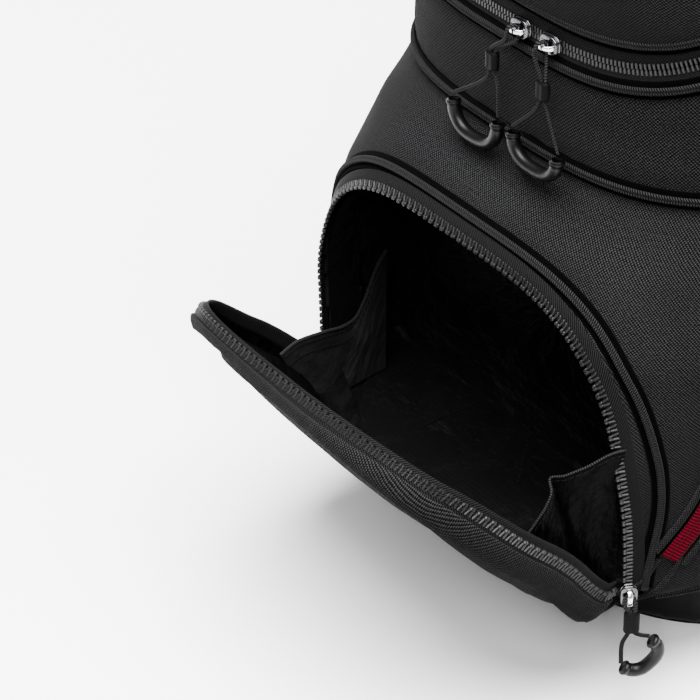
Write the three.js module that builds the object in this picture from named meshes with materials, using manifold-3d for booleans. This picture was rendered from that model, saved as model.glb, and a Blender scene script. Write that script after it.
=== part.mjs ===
// Golf staff bag with its ball pocket unzipped and its flap hanging open.
// Millimetres, +Z up. The front, with the ball pocket, faces -Y, and +X is the bag's
// own right as it is seen from the front. The origin is the centre of the ground face.
import * as THREE from 'three';
import { mergeVertices } from 'three/addons/utils/BufferGeometryUtils.js';
import Module from 'manifold-3d';

const wasm = await Module();
wasm.setup();

// ---------------------------------------------------------------- driving dimensions
// Body stations: height, half width, front, and the Y of the widest point.
const STATIONS = [
  { z: 58, half: 138, front: -203, mid: -20 },
  { z: 74, half: 147, front: -216, mid: -20 },
  { z: 130, half: 148, front: -215, mid: -20 },
  { z: 190, half: 148, front: -197, mid: -20 },
  { z: 230, half: 139, front: -177, mid: -18 },
  { z: 267, half: 130, front: -154, mid: -15 },
  { z: 560, half: 130, front: -154, mid: -15 },
  { z: 650, half: 128, front: -134, mid: -8 },
  { z: 870, half: 127, front: -128, mid: -4 },
];
const BACK = 125;            // Y of the back of the body
const FRONT_POWER = 3.1;     // squareness of the front half in plan
const BACK_POWER = 2.4;      // squareness of the back half in plan
const HEM = 58;              // lower hem of the shell
const WAIST = [267, 315];    // the waist panel lies between the lower and the upper body
const TOP = 867;             // top edge of the upper body
const WALL = 3;              // fabric and foam wall
const GAP = 0.35;            // clearance between pieces

const ARCH = { half: 121, foot: 75, crown: 218, side: 3.4, top: 2.9 };  // ball pocket zipper
const ARCH_CENTRE = 138;
const TAPE = 8.6;            // visible zipper tape beside the teeth
const FLAP_HINGE = { y: -183, z: 63 };
const FLAP_OPEN = 42;        // degrees the flap hangs open
const FLAP_WALL = 11;        // depth of the flap's side wall

const DOOR = { half: 118, low: 327, corner: 37, high: 540, power: 4 };  // upper pocket
const DOOR_HINGE = { y: -158, z: 541.5 };

const PIPE_R = 2;
const CORD_R = 1.1;
const GRIP_R = 3;
const BASE = { half: 128, front: -132, back: 122, power: 2.6, high: 57.4, pad: 3 };
const TUBE = { half: 116, front: -112, back: 112, power: 2.6 };
const CUFF = { low: 868, high: 902, half: 134, front: -135, back: 131, inner: 104 };
const RING_STEPS = 44;

// ---------------------------------------------------------------- body surface
const deg = (a) => (a * Math.PI) / 180;
const v3 = (x, y, z) => new THREE.Vector3(x, y, z);
const spow = (v, p) => Math.sign(v) * Math.abs(v) ** p;

// Monotone cubic through the stations, so the body swells without ripples.
function station(z, key) {
  const s = STATIONS;
  const h = Math.min(Math.max(z, s[0].z), s[s.length - 1].z);
  let i = 0;
  while (i < s.length - 2 && h > s[i + 1].z) i++;
  const slope = (k) => (s[k + 1][key] - s[k][key]) / (s[k + 1].z - s[k].z);
  const tangent = (k) => {
    if (k <= 0) return slope(0);
    if (k >= s.length - 1) return slope(s.length - 2);
    const a = slope(k - 1);
    const b = slope(k);
    return a * b <= 0 ? 0 : (2 * a * b) / (a + b);
  };
  const w = s[i + 1].z - s[i].z;
  const u = (h - s[i].z) / w;
  const u2 = u * u;
  const u3 = u2 * u;
  return (2 * u3 - 3 * u2 + 1) * s[i][key] + (u3 - 2 * u2 + u) * w * tangent(i)
    + (3 * u2 - 2 * u3) * s[i + 1][key] + (u3 - u2) * w * tangent(i + 1);
}

// Point on the body at plan angle t, measured from the front towards +X.
function around(t, z, off = 0) {
  const half = station(z, 'half') + off;
  const mid = station(z, 'mid');
  const c = Math.cos(deg(t));
  const s = Math.sin(deg(t));
  const p = 2 / (c >= 0 ? FRONT_POWER : BACK_POWER);
  const depth = c >= 0 ? mid - station(z, 'front') + off : BACK - mid + off;
  return v3(half * spow(s, p), mid - depth * spow(c, p), z);
}

// Point on the front of the body above a given X.
function front(x, z, off = 0) {
  const half = station(z, 'half') + off;
  const mid = station(z, 'mid');
  const k = Math.max(0, 1 - Math.abs(x / half) ** FRONT_POWER);
  return v3(x, mid - (mid - station(z, 'front') + off) * k ** (1 / FRONT_POWER), z);
}

function frontNormal(x, z) {
  const e = 0.5;
  const dx = front(x + e, z).sub(front(x - e, z));
  const dz = front(x, z + e).sub(front(x, z - e));
  return dx.cross(dz).normalize();
}

// ---------------------------------------------------------------- solid builders
function finish(pos, idx) {
  const g = new THREE.BufferGeometry();
  g.setAttribute('position', new THREE.BufferAttribute(new Float32Array(pos), 3));
  g.setIndex(idx);
  const merged = mergeVertices(g, 1e-4);
  const p = merged.getAttribute('position');
  const ids = merged.getIndex().array;
  let volume = 0;
  const [a, b, c] = [v3(0, 0, 0), v3(0, 0, 0), v3(0, 0, 0)];
  for (let i = 0; i < ids.length; i += 3) {
    a.fromBufferAttribute(p, ids[i]);
    b.fromBufferAttribute(p, ids[i + 1]);
    c.fromBufferAttribute(p, ids[i + 2]);
    volume += a.dot(b.clone().cross(c));
  }
  if (volume < 0) {
    for (let i = 0; i < ids.length; i += 3) [ids[i], ids[i + 1]] = [ids[i + 1], ids[i]];
  }
  return merged;
}

// Skins a row of point loops. The row either closes on itself or is capped at both ends.
function skin(loops, { closed = false, first = null, last = null } = {}) {
  const n = loops.length;
  const m = loops[0].length;
  const pos = loops.flatMap((loop) => loop.flatMap((p) => [p.x, p.y, p.z]));
  const idx = [];
  const at = (i, j) => (i % n) * m + (j % m);
  for (let i = 0; i < (closed ? n : n - 1); i++) {
    for (let j = 0; j < m; j++) {
      idx.push(at(i, j), at(i, j + 1), at(i + 1, j + 1));
      idx.push(at(i, j), at(i + 1, j + 1), at(i + 1, j));
    }
  }
  if (!closed) {
    for (const [i, tip, flip] of [[0, first, true], [n - 1, last, false]]) {
      const c = tip ?? loops[i].reduce((s, p) => s.add(p), v3(0, 0, 0)).divideScalar(m);
      const k = pos.length / 3;
      pos.push(c.x, c.y, c.z);
      for (let j = 0; j < m; j++) {
        idx.push(...(flip ? [k, at(i, j + 1), at(i, j)] : [k, at(i, j), at(i, j + 1)]));
      }
    }
  }
  return finish(pos, idx);
}

// Closed ring whose section is given, as [z, offset] pairs, at each plan angle.
function bodyRing(section, steps = RING_STEPS) {
  const loops = [];
  for (let i = 0; i < steps; i++) {
    loops.push(section.map(([z, off]) => around((360 * i) / steps, z, off)));
  }
  return skin(loops, { closed: true });
}

// Hollow wall that follows the body between two heights.
function bodyWall(heights, outer, inner, steps = RING_STEPS) {
  const up = heights.map((z) => [z, outer]);
  const down = [...heights].reverse().map((z) => [z, inner]);
  return bodyRing([...up, ...down], steps);
}

// Plan outline of a plain oval piece.
function oval({ half, front: f, back, power }, grow, steps = 36) {
  const out = [];
  for (let i = 0; i < steps; i++) {
    const t = (2 * Math.PI * i) / steps;
    const y = -Math.cos(t);
    out.push([(half + grow) * spow(Math.sin(t), 2 / power),
      (y < 0 ? -f + grow : back + grow) * spow(y, 2 / power)]);
  }
  return out;
}
const lift = (outline, z) => outline.map(([x, y]) => v3(x, y, z));

function tube(points, radius, steps, sides = 6) {
  const shape = new THREE.Shape();
  for (let i = 0; i < sides; i++) {
    const a = (2 * Math.PI * i) / sides;
    if (i) shape.lineTo(radius * Math.cos(a), radius * Math.sin(a));
    else shape.moveTo(radius * Math.cos(a), radius * Math.sin(a));
  }
  shape.closePath();
  const path = new THREE.CatmullRomCurve3(points, false, 'centripetal');
  return new THREE.ExtrudeGeometry(shape, { steps, extrudePath: path, bevelEnabled: false });
}

// Round section carried around a closed loop of points.
function hoop(points, radius, sides = 5) {
  const n = points.length;
  const loops = points.map((p, i) => {
    const along = points[(i + 1) % n].clone().sub(points[(i + n - 1) % n]).normalize();
    const side = along.clone().cross(v3(0, 0, 1));
    if (side.length() < 0.2) side.copy(along.clone().cross(v3(1, 0, 0)));
    side.normalize();
    const up = side.clone().cross(along).normalize();
    return Array.from({ length: sides }, (_, k) => {
      const a = (2 * Math.PI * k) / sides;
      return p.clone().addScaledVector(side, radius * Math.cos(a))
        .addScaledVector(up, radius * Math.sin(a));
    });
  });
  return skin(loops, { closed: true });
}

// Flat strip along a path: each station gives its four corners.
const strip = (corners, closed = false) => skin(corners, { closed });

function solid(geometry) {
  const g = geometry.clone();
  g.deleteAttribute('normal');
  g.deleteAttribute('uv');
  const m = mergeVertices(g, 1e-4);
  return new wasm.Manifold(new wasm.Mesh({
    numProp: 3,
    vertProperties: new Float32Array(m.getAttribute('position').array),
    triVerts: new Uint32Array(m.getIndex().array),
  }));
}

function fromSolid(part) {
  const mesh = part.getMesh();
  const g = new THREE.BufferGeometry();
  const n = mesh.vertProperties.length / mesh.numProp;
  const pos = new Float32Array(n * 3);
  for (let i = 0; i < n; i++) {
    for (let k = 0; k < 3; k++) pos[3 * i + k] = mesh.vertProperties[mesh.numProp * i + k];
  }
  g.setAttribute('position', new THREE.BufferAttribute(pos, 3));
  g.setIndex(new THREE.BufferAttribute(new Uint32Array(mesh.triVerts), 1));
  return g;
}
const cut = (a, ...tools) => fromSolid(tools.reduce((s, t) => s.subtract(solid(t)), solid(a)));
const join = (a, ...more) => fromSolid(more.reduce((s, t) => s.add(solid(t)), solid(a)));

// Prism along Y from an outline in X and Z.
function prismY(outline, y0, y1) {
  return skin([outline.map(([x, z]) => v3(x, y0, z)), outline.map(([x, z]) => v3(x, y1, z))]);
}

// ---------------------------------------------------------------- outlines
// Ball pocket zipper line from its right foot over the crown to its left foot.
function archLine(grow = 0, steps = 34) {
  const out = [];
  for (let i = 0; i <= steps; i++) {
    const w = deg(90 - (180 * i) / steps);
    out.push([(ARCH.half + grow) * spow(Math.sin(w), 2 / ARCH.side),
      ARCH.foot + (ARCH.crown + grow - ARCH.foot) * Math.abs(Math.cos(w)) ** (2 / ARCH.top)]);
  }
  return out;
}
// Whole edge of the flap: the arch, then down and along the hem with rounded corners.
function flapOutline(inset = 0) {
  const kx = (ARCH.half - inset) / ARCH.half;
  const kz = (ARCH.crown - ARCH_CENTRE - inset) / (ARCH.crown - ARCH_CENTRE);
  const hem = [[-118, 67], [-110, 62], [-95, 60.6], [-50, 60.6], [0, 60.6], [50, 60.6],
    [95, 60.6], [110, 62], [118, 67]];
  return [...archLine(), ...hem]
    .map(([x, z]) => [x * kx, ARCH_CENTRE + (z - ARCH_CENTRE) * kz]);
}
// Upper pocket edge from the left side round the bottom to the right side.
function doorLine(grow = 0, steps = 20) {
  const out = [[-DOOR.half - grow, 540], [-DOOR.half - grow, 450]];
  for (let i = 0; i <= steps; i++) {
    const w = deg(-90 + (180 * i) / steps);
    out.push([(DOOR.half + grow) * spow(Math.sin(w), 2 / DOOR.power),
      DOOR.low + DOOR.corner - (DOOR.corner + grow) * Math.cos(w)]);
  }
  out.push([DOOR.half + grow, 450], [DOOR.half + grow, 540]);
  return out;
}
const onFront = (line, off) => line.map(([x, z]) => front(x, z, off));

// ---------------------------------------------------------------- scene helpers
const group = new THREE.Group();
group.name = 'golf_staff_bag';
const COLOURS = {
  shell: ['#1b1b1d', 0.92, 0], band: ['#161618', 0.95, 0], piping: ['#141416', 0.9, 0],
  lining: ['#0c0c0d', 0.6, 0], zipper: ['#0d0d0e', 0.35, 0], red: ['#6e0523', 0.8, 0],
  moulded: ['#121214', 0.55, 0], rubber: ['#0e0e10', 0.4, 0], metal: ['#b9b9bd', 0.25, 1],
  pad: ['#202022', 0.95, 0],
};
function add(name, look, geometry, parent = group) {
  const [color, roughness, metalness] = COLOURS[look];
  const mesh = new THREE.Mesh(geometry,
    new THREE.MeshStandardMaterial({ color, roughness, metalness }));
  mesh.name = name;
  parent.add(mesh);
  return mesh;
}

// ---------------------------------------------------------------- base
const baseOutline = (grow) => oval(BASE, grow);
add('base_pad', 'rubber', skin([lift(baseOutline(-4), 0), lift(baseOutline(-3), BASE.pad)]));
add('base_cup', 'moulded', skin([
  lift(baseOutline(-8), 11),
  lift(baseOutline(-5), BASE.high), lift(baseOutline(-1), BASE.high),
  lift(baseOutline(2), 30), lift(baseOutline(1), 8),
  lift(baseOutline(-3), BASE.pad + GAP),
], { first: v3(0, 0, 11), last: v3(0, 0, BASE.pad + GAP) }));

// ---------------------------------------------------------------- lower body
const LOW_ROWS = [HEM, 74, 130, 160, 190, 210, 230, 250, WAIST[0] - GAP];
const wideArch = [...archLine(TAPE + 0.4)].reverse();
const archHole = [[ARCH.half + 0.9, HEM - 10], [-ARCH.half - 0.9, HEM - 10],
  [-ARCH.half - 0.9, ARCH.foot - 4], ...wideArch, [ARCH.half + 0.9, ARCH.foot - 4]];
add('lower_shell', 'shell', cut(bodyWall(LOW_ROWS, 0, -WALL), prismY(archHole, -260, -100)));

const floorFront = -176;
const floorPlan = Array.from({ length: RING_STEPS }, (_, i) => {
  const p = around((360 * i) / RING_STEPS, HEM, -WALL - GAP - 0.4);
  return [p.x, Math.max(p.y, floorFront)];
});
add('shell_floor', 'shell', skin([lift(floorPlan, HEM), lift(floorPlan, HEM + 2.2)]));

add('waist_panel', 'band', bodyWall(WAIST, 0, -WALL));
const ringAt = (z, off, steps = 40) =>
  Array.from({ length: steps }, (_, i) => around((360 * i) / steps, z, off));
add('waist_piping', 'piping', hoop(ringAt(WAIST[0] + 1, PIPE_R + GAP + 0.5), PIPE_R));

// ---------------------------------------------------------------- ball pocket, fixed parts
const tapeShell = archLine(0, 30).map(([x, z], i, line) => {
  const [gx, gz] = archLine(TAPE, 30)[i];
  const k = 0.06;
  const ax = x + (gx - x) * k;
  const az = z + (gz - z) * k;
  return [front(ax, az, -0.2), front(gx, gz, -0.2), front(gx, gz, -2), front(ax, az, -2)];
});
add('ball_zipper_shell', 'zipper', strip(tapeShell));
// The piping keeps its distance over the crown and closes in on the slider at each foot.
const archPiping = archLine(0, 26).map(([x, z], i) => {
  const rise = THREE.MathUtils.smoothstep(z, ARCH.foot - 10, ARCH.foot + 75);
  const [gx, gz] = archLine(9 + 2.5 * rise, 26)[i];
  return [gx, gz];
});
add('ball_pocket_piping', 'piping',
  tube(onFront(archPiping.filter(([, z]) => z > 84), PIPE_R + GAP + 0.6), PIPE_R, 44));

// Lining bag inside the pocket: a wall, floor and ceiling that are open at the front.
const linerPlan = (z, off) => {
  const rear = -114 + off;
  let low = 40;
  let high = 110;
  for (let i = 0; i < 24; i++) {
    const t = (low + high) / 2;
    if (around(t, z, off).y > rear) high = t;
    else low = t;
  }
  const pts = [];
  for (let i = 0; i <= 20; i++) {
    const p = around(low * (i / 10 - 1), z, off);
    pts.push(v3(p.x, p.y, z));
  }
  return pts;
};
const linerRows = [62, 90, 130, 175, 215, 240];
const linerOuter = skin(linerRows.map((z) => linerPlan(z, -WALL - 1.2)));
const linerInner = skin(linerRows.map((z, i) => linerPlan(
  i === 0 ? z + 1.6 : i === 5 ? z - 1.6 : z, -WALL - 2.8)));
add('ball_pocket_liner', 'lining',
  cut(linerOuter, linerInner, prismY(
    [[-129, 50], [129, 50], [129, 150], [112, 222], [-112, 222], [-129, 150]], -260, -158)));

// ---------------------------------------------------------------- ball pocket, flap
const flap = new THREE.Group();
flap.position.set(0, FLAP_HINGE.y, FLAP_HINGE.z);
flap.rotation.x = deg(FLAP_OPEN);
group.add(flap);
const onFlap = (name, look, g) =>
  add(name, look, g.translate(0, -FLAP_HINGE.y, -FLAP_HINGE.z), flap);
// The slack cloth of the flap hangs flatter than the curve of the bag: nothing is taken off
// at the zipper, and most at the middle.
const SAG = { deep: 33, hem: 0.55, start: 0.968 };
function flapSag(x, z) {
  const up = Math.max(z - ARCH.foot, 0) / (ARCH.crown - ARCH.foot);
  const edge = (Math.abs(x / ARCH.half) ** ARCH.side + up ** ARCH.top) ** (1 / 3);
  const u = Math.min(Math.max((z - 60) / 30, 0), 1);
  const low = SAG.hem + (1 - SAG.hem) * u * u * (3 - 2 * u);
  return SAG.deep * low * (1 - Math.min(1, edge / SAG.start) ** 2.2) ** 0.6;
}
const flapPoint = (x, z, off) => front(x, z, off - flapSag(x, z));
const flapLoop = (inset, off) => flapOutline(inset).map(([x, z]) => flapPoint(x, z, off));
onFlap('ball_flap_panel', 'shell', skin([
  flapLoop(70, FLAP_WALL + 1.7), flapLoop(34, FLAP_WALL + 1.4), flapLoop(14, FLAP_WALL + 0.4),
  flapLoop(8, FLAP_WALL - 0.4), flapLoop(5, FLAP_WALL - 1), flapLoop(3.2, FLAP_WALL - 1.6),
  flapLoop(0.6, FLAP_WALL - 1.6), flapLoop(0.8, FLAP_WALL), flapLoop(3.5, FLAP_WALL + 2),
  flapLoop(6.5, FLAP_WALL + 2.4), flapLoop(14, FLAP_WALL + 3.2), flapLoop(34, FLAP_WALL + 4),
  flapLoop(70, FLAP_WALL + 4.3),
], { first: flapPoint(0, ARCH_CENTRE, FLAP_WALL + 1.8),
  last: flapPoint(0, ARCH_CENTRE, FLAP_WALL + 4.4) }));
// The tape stops above the slider, which parks at the foot of the right leg.
const flapTape = archLine(0, 30).map(([x, z]) => [x, Math.max(z, 85)]).map(([x, z]) => {
  const kx = (d) => x * (1 - d / ARCH.half);
  const kz = (d) => ARCH_CENTRE + (z - ARCH_CENTRE) * (1 - d / (ARCH.crown - ARCH_CENTRE));
  const p = (d, off) => front(kx(d), kz(d), off);
  return [p(0.6, -1), p(0.6, FLAP_WALL - 2), p(2.8, FLAP_WALL - 2), p(2.8, -1)];
});
onFlap('ball_flap_zipper', 'zipper', strip(flapTape));
const liningLoop = (inset, off) => flapOutline(inset)
  .map(([x, z]) => flapPoint(x, Math.max(z, 66), off));
onFlap('ball_flap_lining', 'lining', skin([
  liningLoop(70, FLAP_WALL - 1.6), liningLoop(34, FLAP_WALL - 2), liningLoop(16, FLAP_WALL - 2.6),
  liningLoop(9, FLAP_WALL - 4), liningLoop(9, FLAP_WALL - 2.6),
  liningLoop(16, FLAP_WALL - 1.2), liningLoop(34, FLAP_WALL - 0.6), liningLoop(70, FLAP_WALL - 0.2),
], { first: flapPoint(0, ARCH_CENTRE, FLAP_WALL - 1.6),
  last: flapPoint(0, ARCH_CENTRE, FLAP_WALL - 0.2) }));
const BADGE = { z: 150, half: 17, tall: 11 };
const badgeLoop = (k, off) => Array.from({ length: 14 }, (_, i) => {
  const a = (2 * Math.PI * i) / 14;
  return flapPoint(BADGE.half * k * Math.cos(a), BADGE.z + BADGE.tall * k * Math.sin(a), off);
});
onFlap('ball_flap_badge', 'moulded', skin([
  badgeLoop(1, FLAP_WALL + 5), badgeLoop(1, FLAP_WALL + 6.6), badgeLoop(0.75, FLAP_WALL + 8.6),
]));
// Fold of cloth under the flap, between its hem and the hinge.
const FOLD = { half: 70, back: -186 };
const floorEdge = [-3, -2, -1, 0, 1, 2, 3].map((k) => (FOLD.half * k) / 3);
const flapFloor = [...floorEdge.map((x) => flapPoint(x, HEM, FLAP_WALL - 1)),
  v3(FOLD.half, FOLD.back, 0), v3(0, FOLD.back, 0), v3(-FOLD.half, FOLD.back, 0)];
onFlap('ball_flap_floor', 'shell', skin([
  flapFloor.map((p) => v3(p.x, p.y, HEM - 0.4)), flapFloor.map((p) => v3(p.x, p.y, HEM + 1.8)),
]));
// Gussets: fabric fans that tie the open flap to the pocket on either side.
const GUSSET = { x: 108, reach: 92, thick: 1.4, steps: 7 };
for (const [side, sign] of [['right', 1], ['left', -1]]) {
  const fan = [];
  for (let i = 0; i <= GUSSET.steps; i++) {
    const a = deg(97 - (FLAP_OPEN * i) / GUSSET.steps);
    const r = GUSSET.reach * (1 - 0.22 * Math.sin((Math.PI * i) / GUSSET.steps));
    fan.push([r * Math.cos(a), r * Math.sin(a)]);
  }
  const rim = [[6, 8], ...fan].map(([y, z]) => [y, z]);
  const layer = (x) => rim.map(([y, z]) => v3(x, y + FLAP_HINGE.y + 8, z + FLAP_HINGE.z + 6));
  onFlap(`ball_gusset_${side}`, 'lining', skin([
    layer(sign * GUSSET.x), layer(sign * (GUSSET.x + GUSSET.thick)),
  ]));
}

// ---------------------------------------------------------------- upper body
const doorHole = [...doorLine(7.5), [DOOR.half + 7.5, DOOR.high + 0.5],
  [-DOOR.half - 7.5, DOOR.high + 0.5]];
const UP_ROWS = [WAIST[1] + GAP, 400, 560, 605, 650, TOP];
add('upper_shell', 'shell', cut(bodyWall(UP_ROWS, 0, -WALL), prismY(doorHole, -260, -66)));
const doorTape = doorLine(0).map(([x, z], i) => {
  const inner = doorLine(0.6)[i];
  const outer = doorLine(7)[i];
  return [front(...inner, 0), front(...outer, 0), front(...outer, -2), front(...inner, -2)];
});
add('upper_zipper_shell', 'zipper', strip(doorTape));
add('upper_pocket_piping', 'piping',
  tube(onFront(doorLine(10.5, 16).slice(1, -1), PIPE_R + GAP + 0.6), PIPE_R, 40));

const door = new THREE.Group();
door.position.set(0, DOOR_HINGE.y, DOOR_HINGE.z);
group.add(door);
const onDoor = (name, look, g) =>
  add(name, look, g.translate(0, -DOOR_HINGE.y, -DOOR_HINGE.z), door);
const doorLoop = (k, off) => {
  const line = doorLine(-0.4);
  const low = line.slice(1, -1);
  const top = [90, 45, 0, -45, -90].map((x) => [x, DOOR.high - 0.8]);
  return [...low, [DOOR.half - 0.4, DOOR.high - 0.8], ...top,
    [-DOOR.half + 0.4, DOOR.high - 0.8]]
    .map(([x, z]) => front(x * k, 440 + (z - 440) * k, off));
};
onDoor('upper_door_panel', 'shell', skin([
  doorLoop(0.5, -1), doorLoop(0.93, -2), doorLoop(1, -2), doorLoop(1, 0),
  doorLoop(0.93, 0), doorLoop(0.86, 3), doorLoop(0.5, 6),
], { first: front(0, 440, -1), last: front(0, 440, 6.5) }));

// ---------------------------------------------------------------- side zippers
// The lower side pocket zipper starts at the front corner and climbs back along the side.
const SIDE_PATH = [[56.4, 92], [58.6, 100], [62, 114], [66, 138], [69, 168], [71, 200], [72, 236]];
const RED_HALF = 5;
function sideStrip(path, sign, half, low, high) {
  const curve = new THREE.CatmullRomCurve3(path.map(([t, z]) => v3(t, z, 0)));
  const steps = path.length * 2;
  return strip(Array.from({ length: steps + 1 }, (_, i) => {
    const p = curve.getPoint(i / steps);
    const q = curve.getTangent(i / steps);
    const e = 0.2;
    const here = around(p.x, p.y);
    const along = around(p.x + q.x * e, p.y + q.y * e).sub(here).normalize();
    const dt = around(p.x + e, p.y).sub(here);
    const dz = around(p.x, p.y + e).sub(here);
    const normal = dt.cross(dz).normalize();
    const across = along.clone().cross(normal).normalize();
    return [[-half, low], [half, low], [half, high], [-half, high]].map(([w, h]) => {
      const c = here.clone().addScaledVector(across, w).addScaledVector(normal, h);
      return v3(c.x * sign, c.y, c.z);
    });
  }));
}
add('side_zipper_right', 'red', sideStrip(SIDE_PATH, 1, RED_HALF, GAP + 0.5, 2.4));
add('side_zipper_left', 'red', sideStrip(SIDE_PATH, -1, RED_HALF, GAP + 0.5, 2.4));
// Long garment pocket zipper on the upper body.
const GARMENT_PATH = [[78, 365], [78, 460], [78, 550], [78, 610], [78, 660], [78, 800]];
add('garment_zipper', 'red', sideStrip(GARMENT_PATH, 1, RED_HALF, GAP + 0.5, 2.4));
const garmentLoop = (k, off) => {
  const out = [];
  const corners = 24;
  for (let i = 0; i < corners; i++) {
    const a = (2 * Math.PI * i) / corners;
    out.push(around(106 + 21 * k * spow(Math.cos(a), 0.4),
      582 + 222 * k * spow(Math.sin(a), 0.4), off));
  }
  return out;
};
add('garment_panel', 'pad', skin([
  garmentLoop(0.25, 3), garmentLoop(0.5, 3), garmentLoop(1, 3), garmentLoop(1, 6),
  garmentLoop(0.93, 10), garmentLoop(0.5, 12),
], { first: around(106, 582, 3), last: around(106, 582, 12.5) }));

// ---------------------------------------------------------------- top
add('club_tube', 'lining', skin([
  lift(oval(TUBE, 0, 30), HEM + 2.6), lift(oval(TUBE, 0, 30), TOP - 1),
  lift(oval(TUBE, -2.4, 30), TOP - 1), lift(oval(TUBE, -2.4, 30), HEM + 2.6),
  lift(oval(TUBE, 0, 30), HEM + 2.6)].slice(0, 4), { closed: true }));
const cuffRing = (grow, z) => lift(oval({ ...CUFF, power: 2.5 }, grow, 40), z);
add('top_cuff', 'moulded', skin([
  cuffRing(-4, CUFF.low), cuffRing(0, CUFF.low + 5), cuffRing(0, CUFF.high - 8),
  cuffRing(-5, CUFF.high), cuffRing(-19, CUFF.high), cuffRing(-24, CUFF.high - 5),
  cuffRing(-24, CUFF.low),
], { closed: true }));
const BAR = { low: CUFF.low + 4, high: CUFF.high - 3, thick: 9 };
const bar = (w, d, x, y) => new THREE.BoxGeometry(w, d, BAR.high - BAR.low)
  .translate(x, y, (BAR.low + BAR.high) / 2);
const cross = (y, half) => bar(2 * half, BAR.thick, 0, y);
add('divider_frame', 'moulded', join(bar(BAR.thick, 212, 0, -2),
  cross(-56, 92), cross(0, 108), cross(54, 92)));
add('divider_sheet', 'lining',
  new THREE.BoxGeometry(1.6, 200, 740).translate(0, -2, BAR.low - 1 - 370));
// Moulded grab handle at the back of the cuff, and a webbing handle on the spine.
add('cuff_handle', 'rubber', tube([v3(-52, 133.5, 884), v3(-44, 152, 884), v3(-20, 162, 884),
  v3(20, 162, 884), v3(44, 152, 884), v3(52, 133.5, 884)], 6.5, 18, 8));
const webbing = (points, across, width, thick) => {
  const curve = new THREE.CatmullRomCurve3(points);
  const steps = points.length * 3;
  return strip(Array.from({ length: steps + 1 }, (_, i) => {
    const p = curve.getPoint(i / steps);
    const n = curve.getTangent(i / steps).cross(across).normalize();
    return [[-1, -1], [1, -1], [1, 1], [-1, 1]].map(([a, b]) => p.clone()
      .addScaledVector(across, (a * width) / 2).addScaledVector(n, (b * thick) / 2));
  }));
};
add('spine_handle', 'band', webbing([v3(0, 127.6, 590), v3(0, 146, 570), v3(0, 153, 500),
  v3(0, 146, 430), v3(0, 127.6, 410)], v3(1, 0, 0), 34, 4));

// ---------------------------------------------------------------- shoulder strap
const STRAP = { x: -139, y: 8, high: 800, low: 352 };
const strap = new THREE.Group();
strap.position.set(STRAP.x, STRAP.y, 0);
group.add(strap);
const Y_AXIS = v3(0, 1, 0);
add('strap_web_upper', 'band', webbing([v3(-16, 0, STRAP.high - 15.5), v3(-34, 0, 745),
  v3(-50, 0, 712)], Y_AXIS, 34, 3), strap);
add('strap_web_lower', 'band', webbing([v3(-50, 0, 455), v3(-34, 0, 415),
  v3(-16, 0, STRAP.low + 15.5)], Y_AXIS, 34, 3), strap);
add('strap_pad', 'pad', webbing([v3(-52, 0, 708), v3(-64, 0, 650), v3(-68, 0, 584),
  v3(-64, 0, 515), v3(-52, 0, 459)], Y_AXIS, 66, 13), strap);
for (const [name, z, dir] of [['upper', STRAP.high, -1], ['lower', STRAP.low, 1]]) {
  const ring = [];
  for (let i = 0; i < 16; i++) {
    const a = (2 * Math.PI * i) / 16;
    const s = spow(Math.sin(a), 0.7);
    ring.push(v3(-7 - 7 * Math.cos(a), 22 * s, z + dir * (6 + 6 * Math.cos(a))));
  }
  add(`strap_ring_${name}`, 'metal', hoop(ring, 1.8), strap);
}
// Towel ring that hangs from a tab under the cuff.
const towel = new THREE.Group();
const towelAt = around(36, 846, 6.5);
const towelN = around(37, 846).sub(around(35, 846)).normalize();
towel.position.copy(towelAt);
towel.rotation.z = Math.atan2(towelN.y, towelN.x);
group.add(towel);
add('towel_ring', 'metal', new THREE.TorusGeometry(17, 1.8, 6, 22)
  .rotateX(Math.PI / 2).translate(0, 0, -17), towel);

// ---------------------------------------------------------------- zipper sliders and pulls
// A slider body with its bail, in a frame whose X runs along the zipper and Z points out.
function sliderBody(length = 12, width = 9.5, tall = 3.4) {
  const plan = new THREE.Shape();
  plan.moveTo(-length / 2, -width * 0.3);
  plan.lineTo(-length * 0.2, -width / 2);
  plan.lineTo(length / 2, -width * 0.42);
  plan.lineTo(length / 2, width * 0.42);
  plan.lineTo(-length * 0.2, width / 2);
  plan.lineTo(-length / 2, width * 0.3);
  plan.closePath();
  const body = new THREE.ExtrudeGeometry(plan, { depth: tall, bevelEnabled: false });
  const bail = tube([v3(-3.2, 0, tall - 0.6), v3(-3, 0, tall + 2.6), v3(0, 0, tall + 3.8),
    v3(3, 0, tall + 2.6), v3(3.2, 0, tall - 0.6)], 0.9, 10, 6);
  return join(body, bail);
}
// Places a slider at a point, along a direction, standing out along a normal.
function placeSlider(name, at, along, normal, dims) {
  const g = new THREE.Group();
  const x = along.clone().normalize();
  const z = normal.clone().addScaledVector(x, -normal.dot(x)).normalize();
  g.setRotationFromMatrix(new THREE.Matrix4().makeBasis(x, z.clone().cross(x), z));
  g.position.copy(at);
  group.add(g);
  add(name, 'metal', sliderBody(...(dims ?? [])), g);
}
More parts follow.
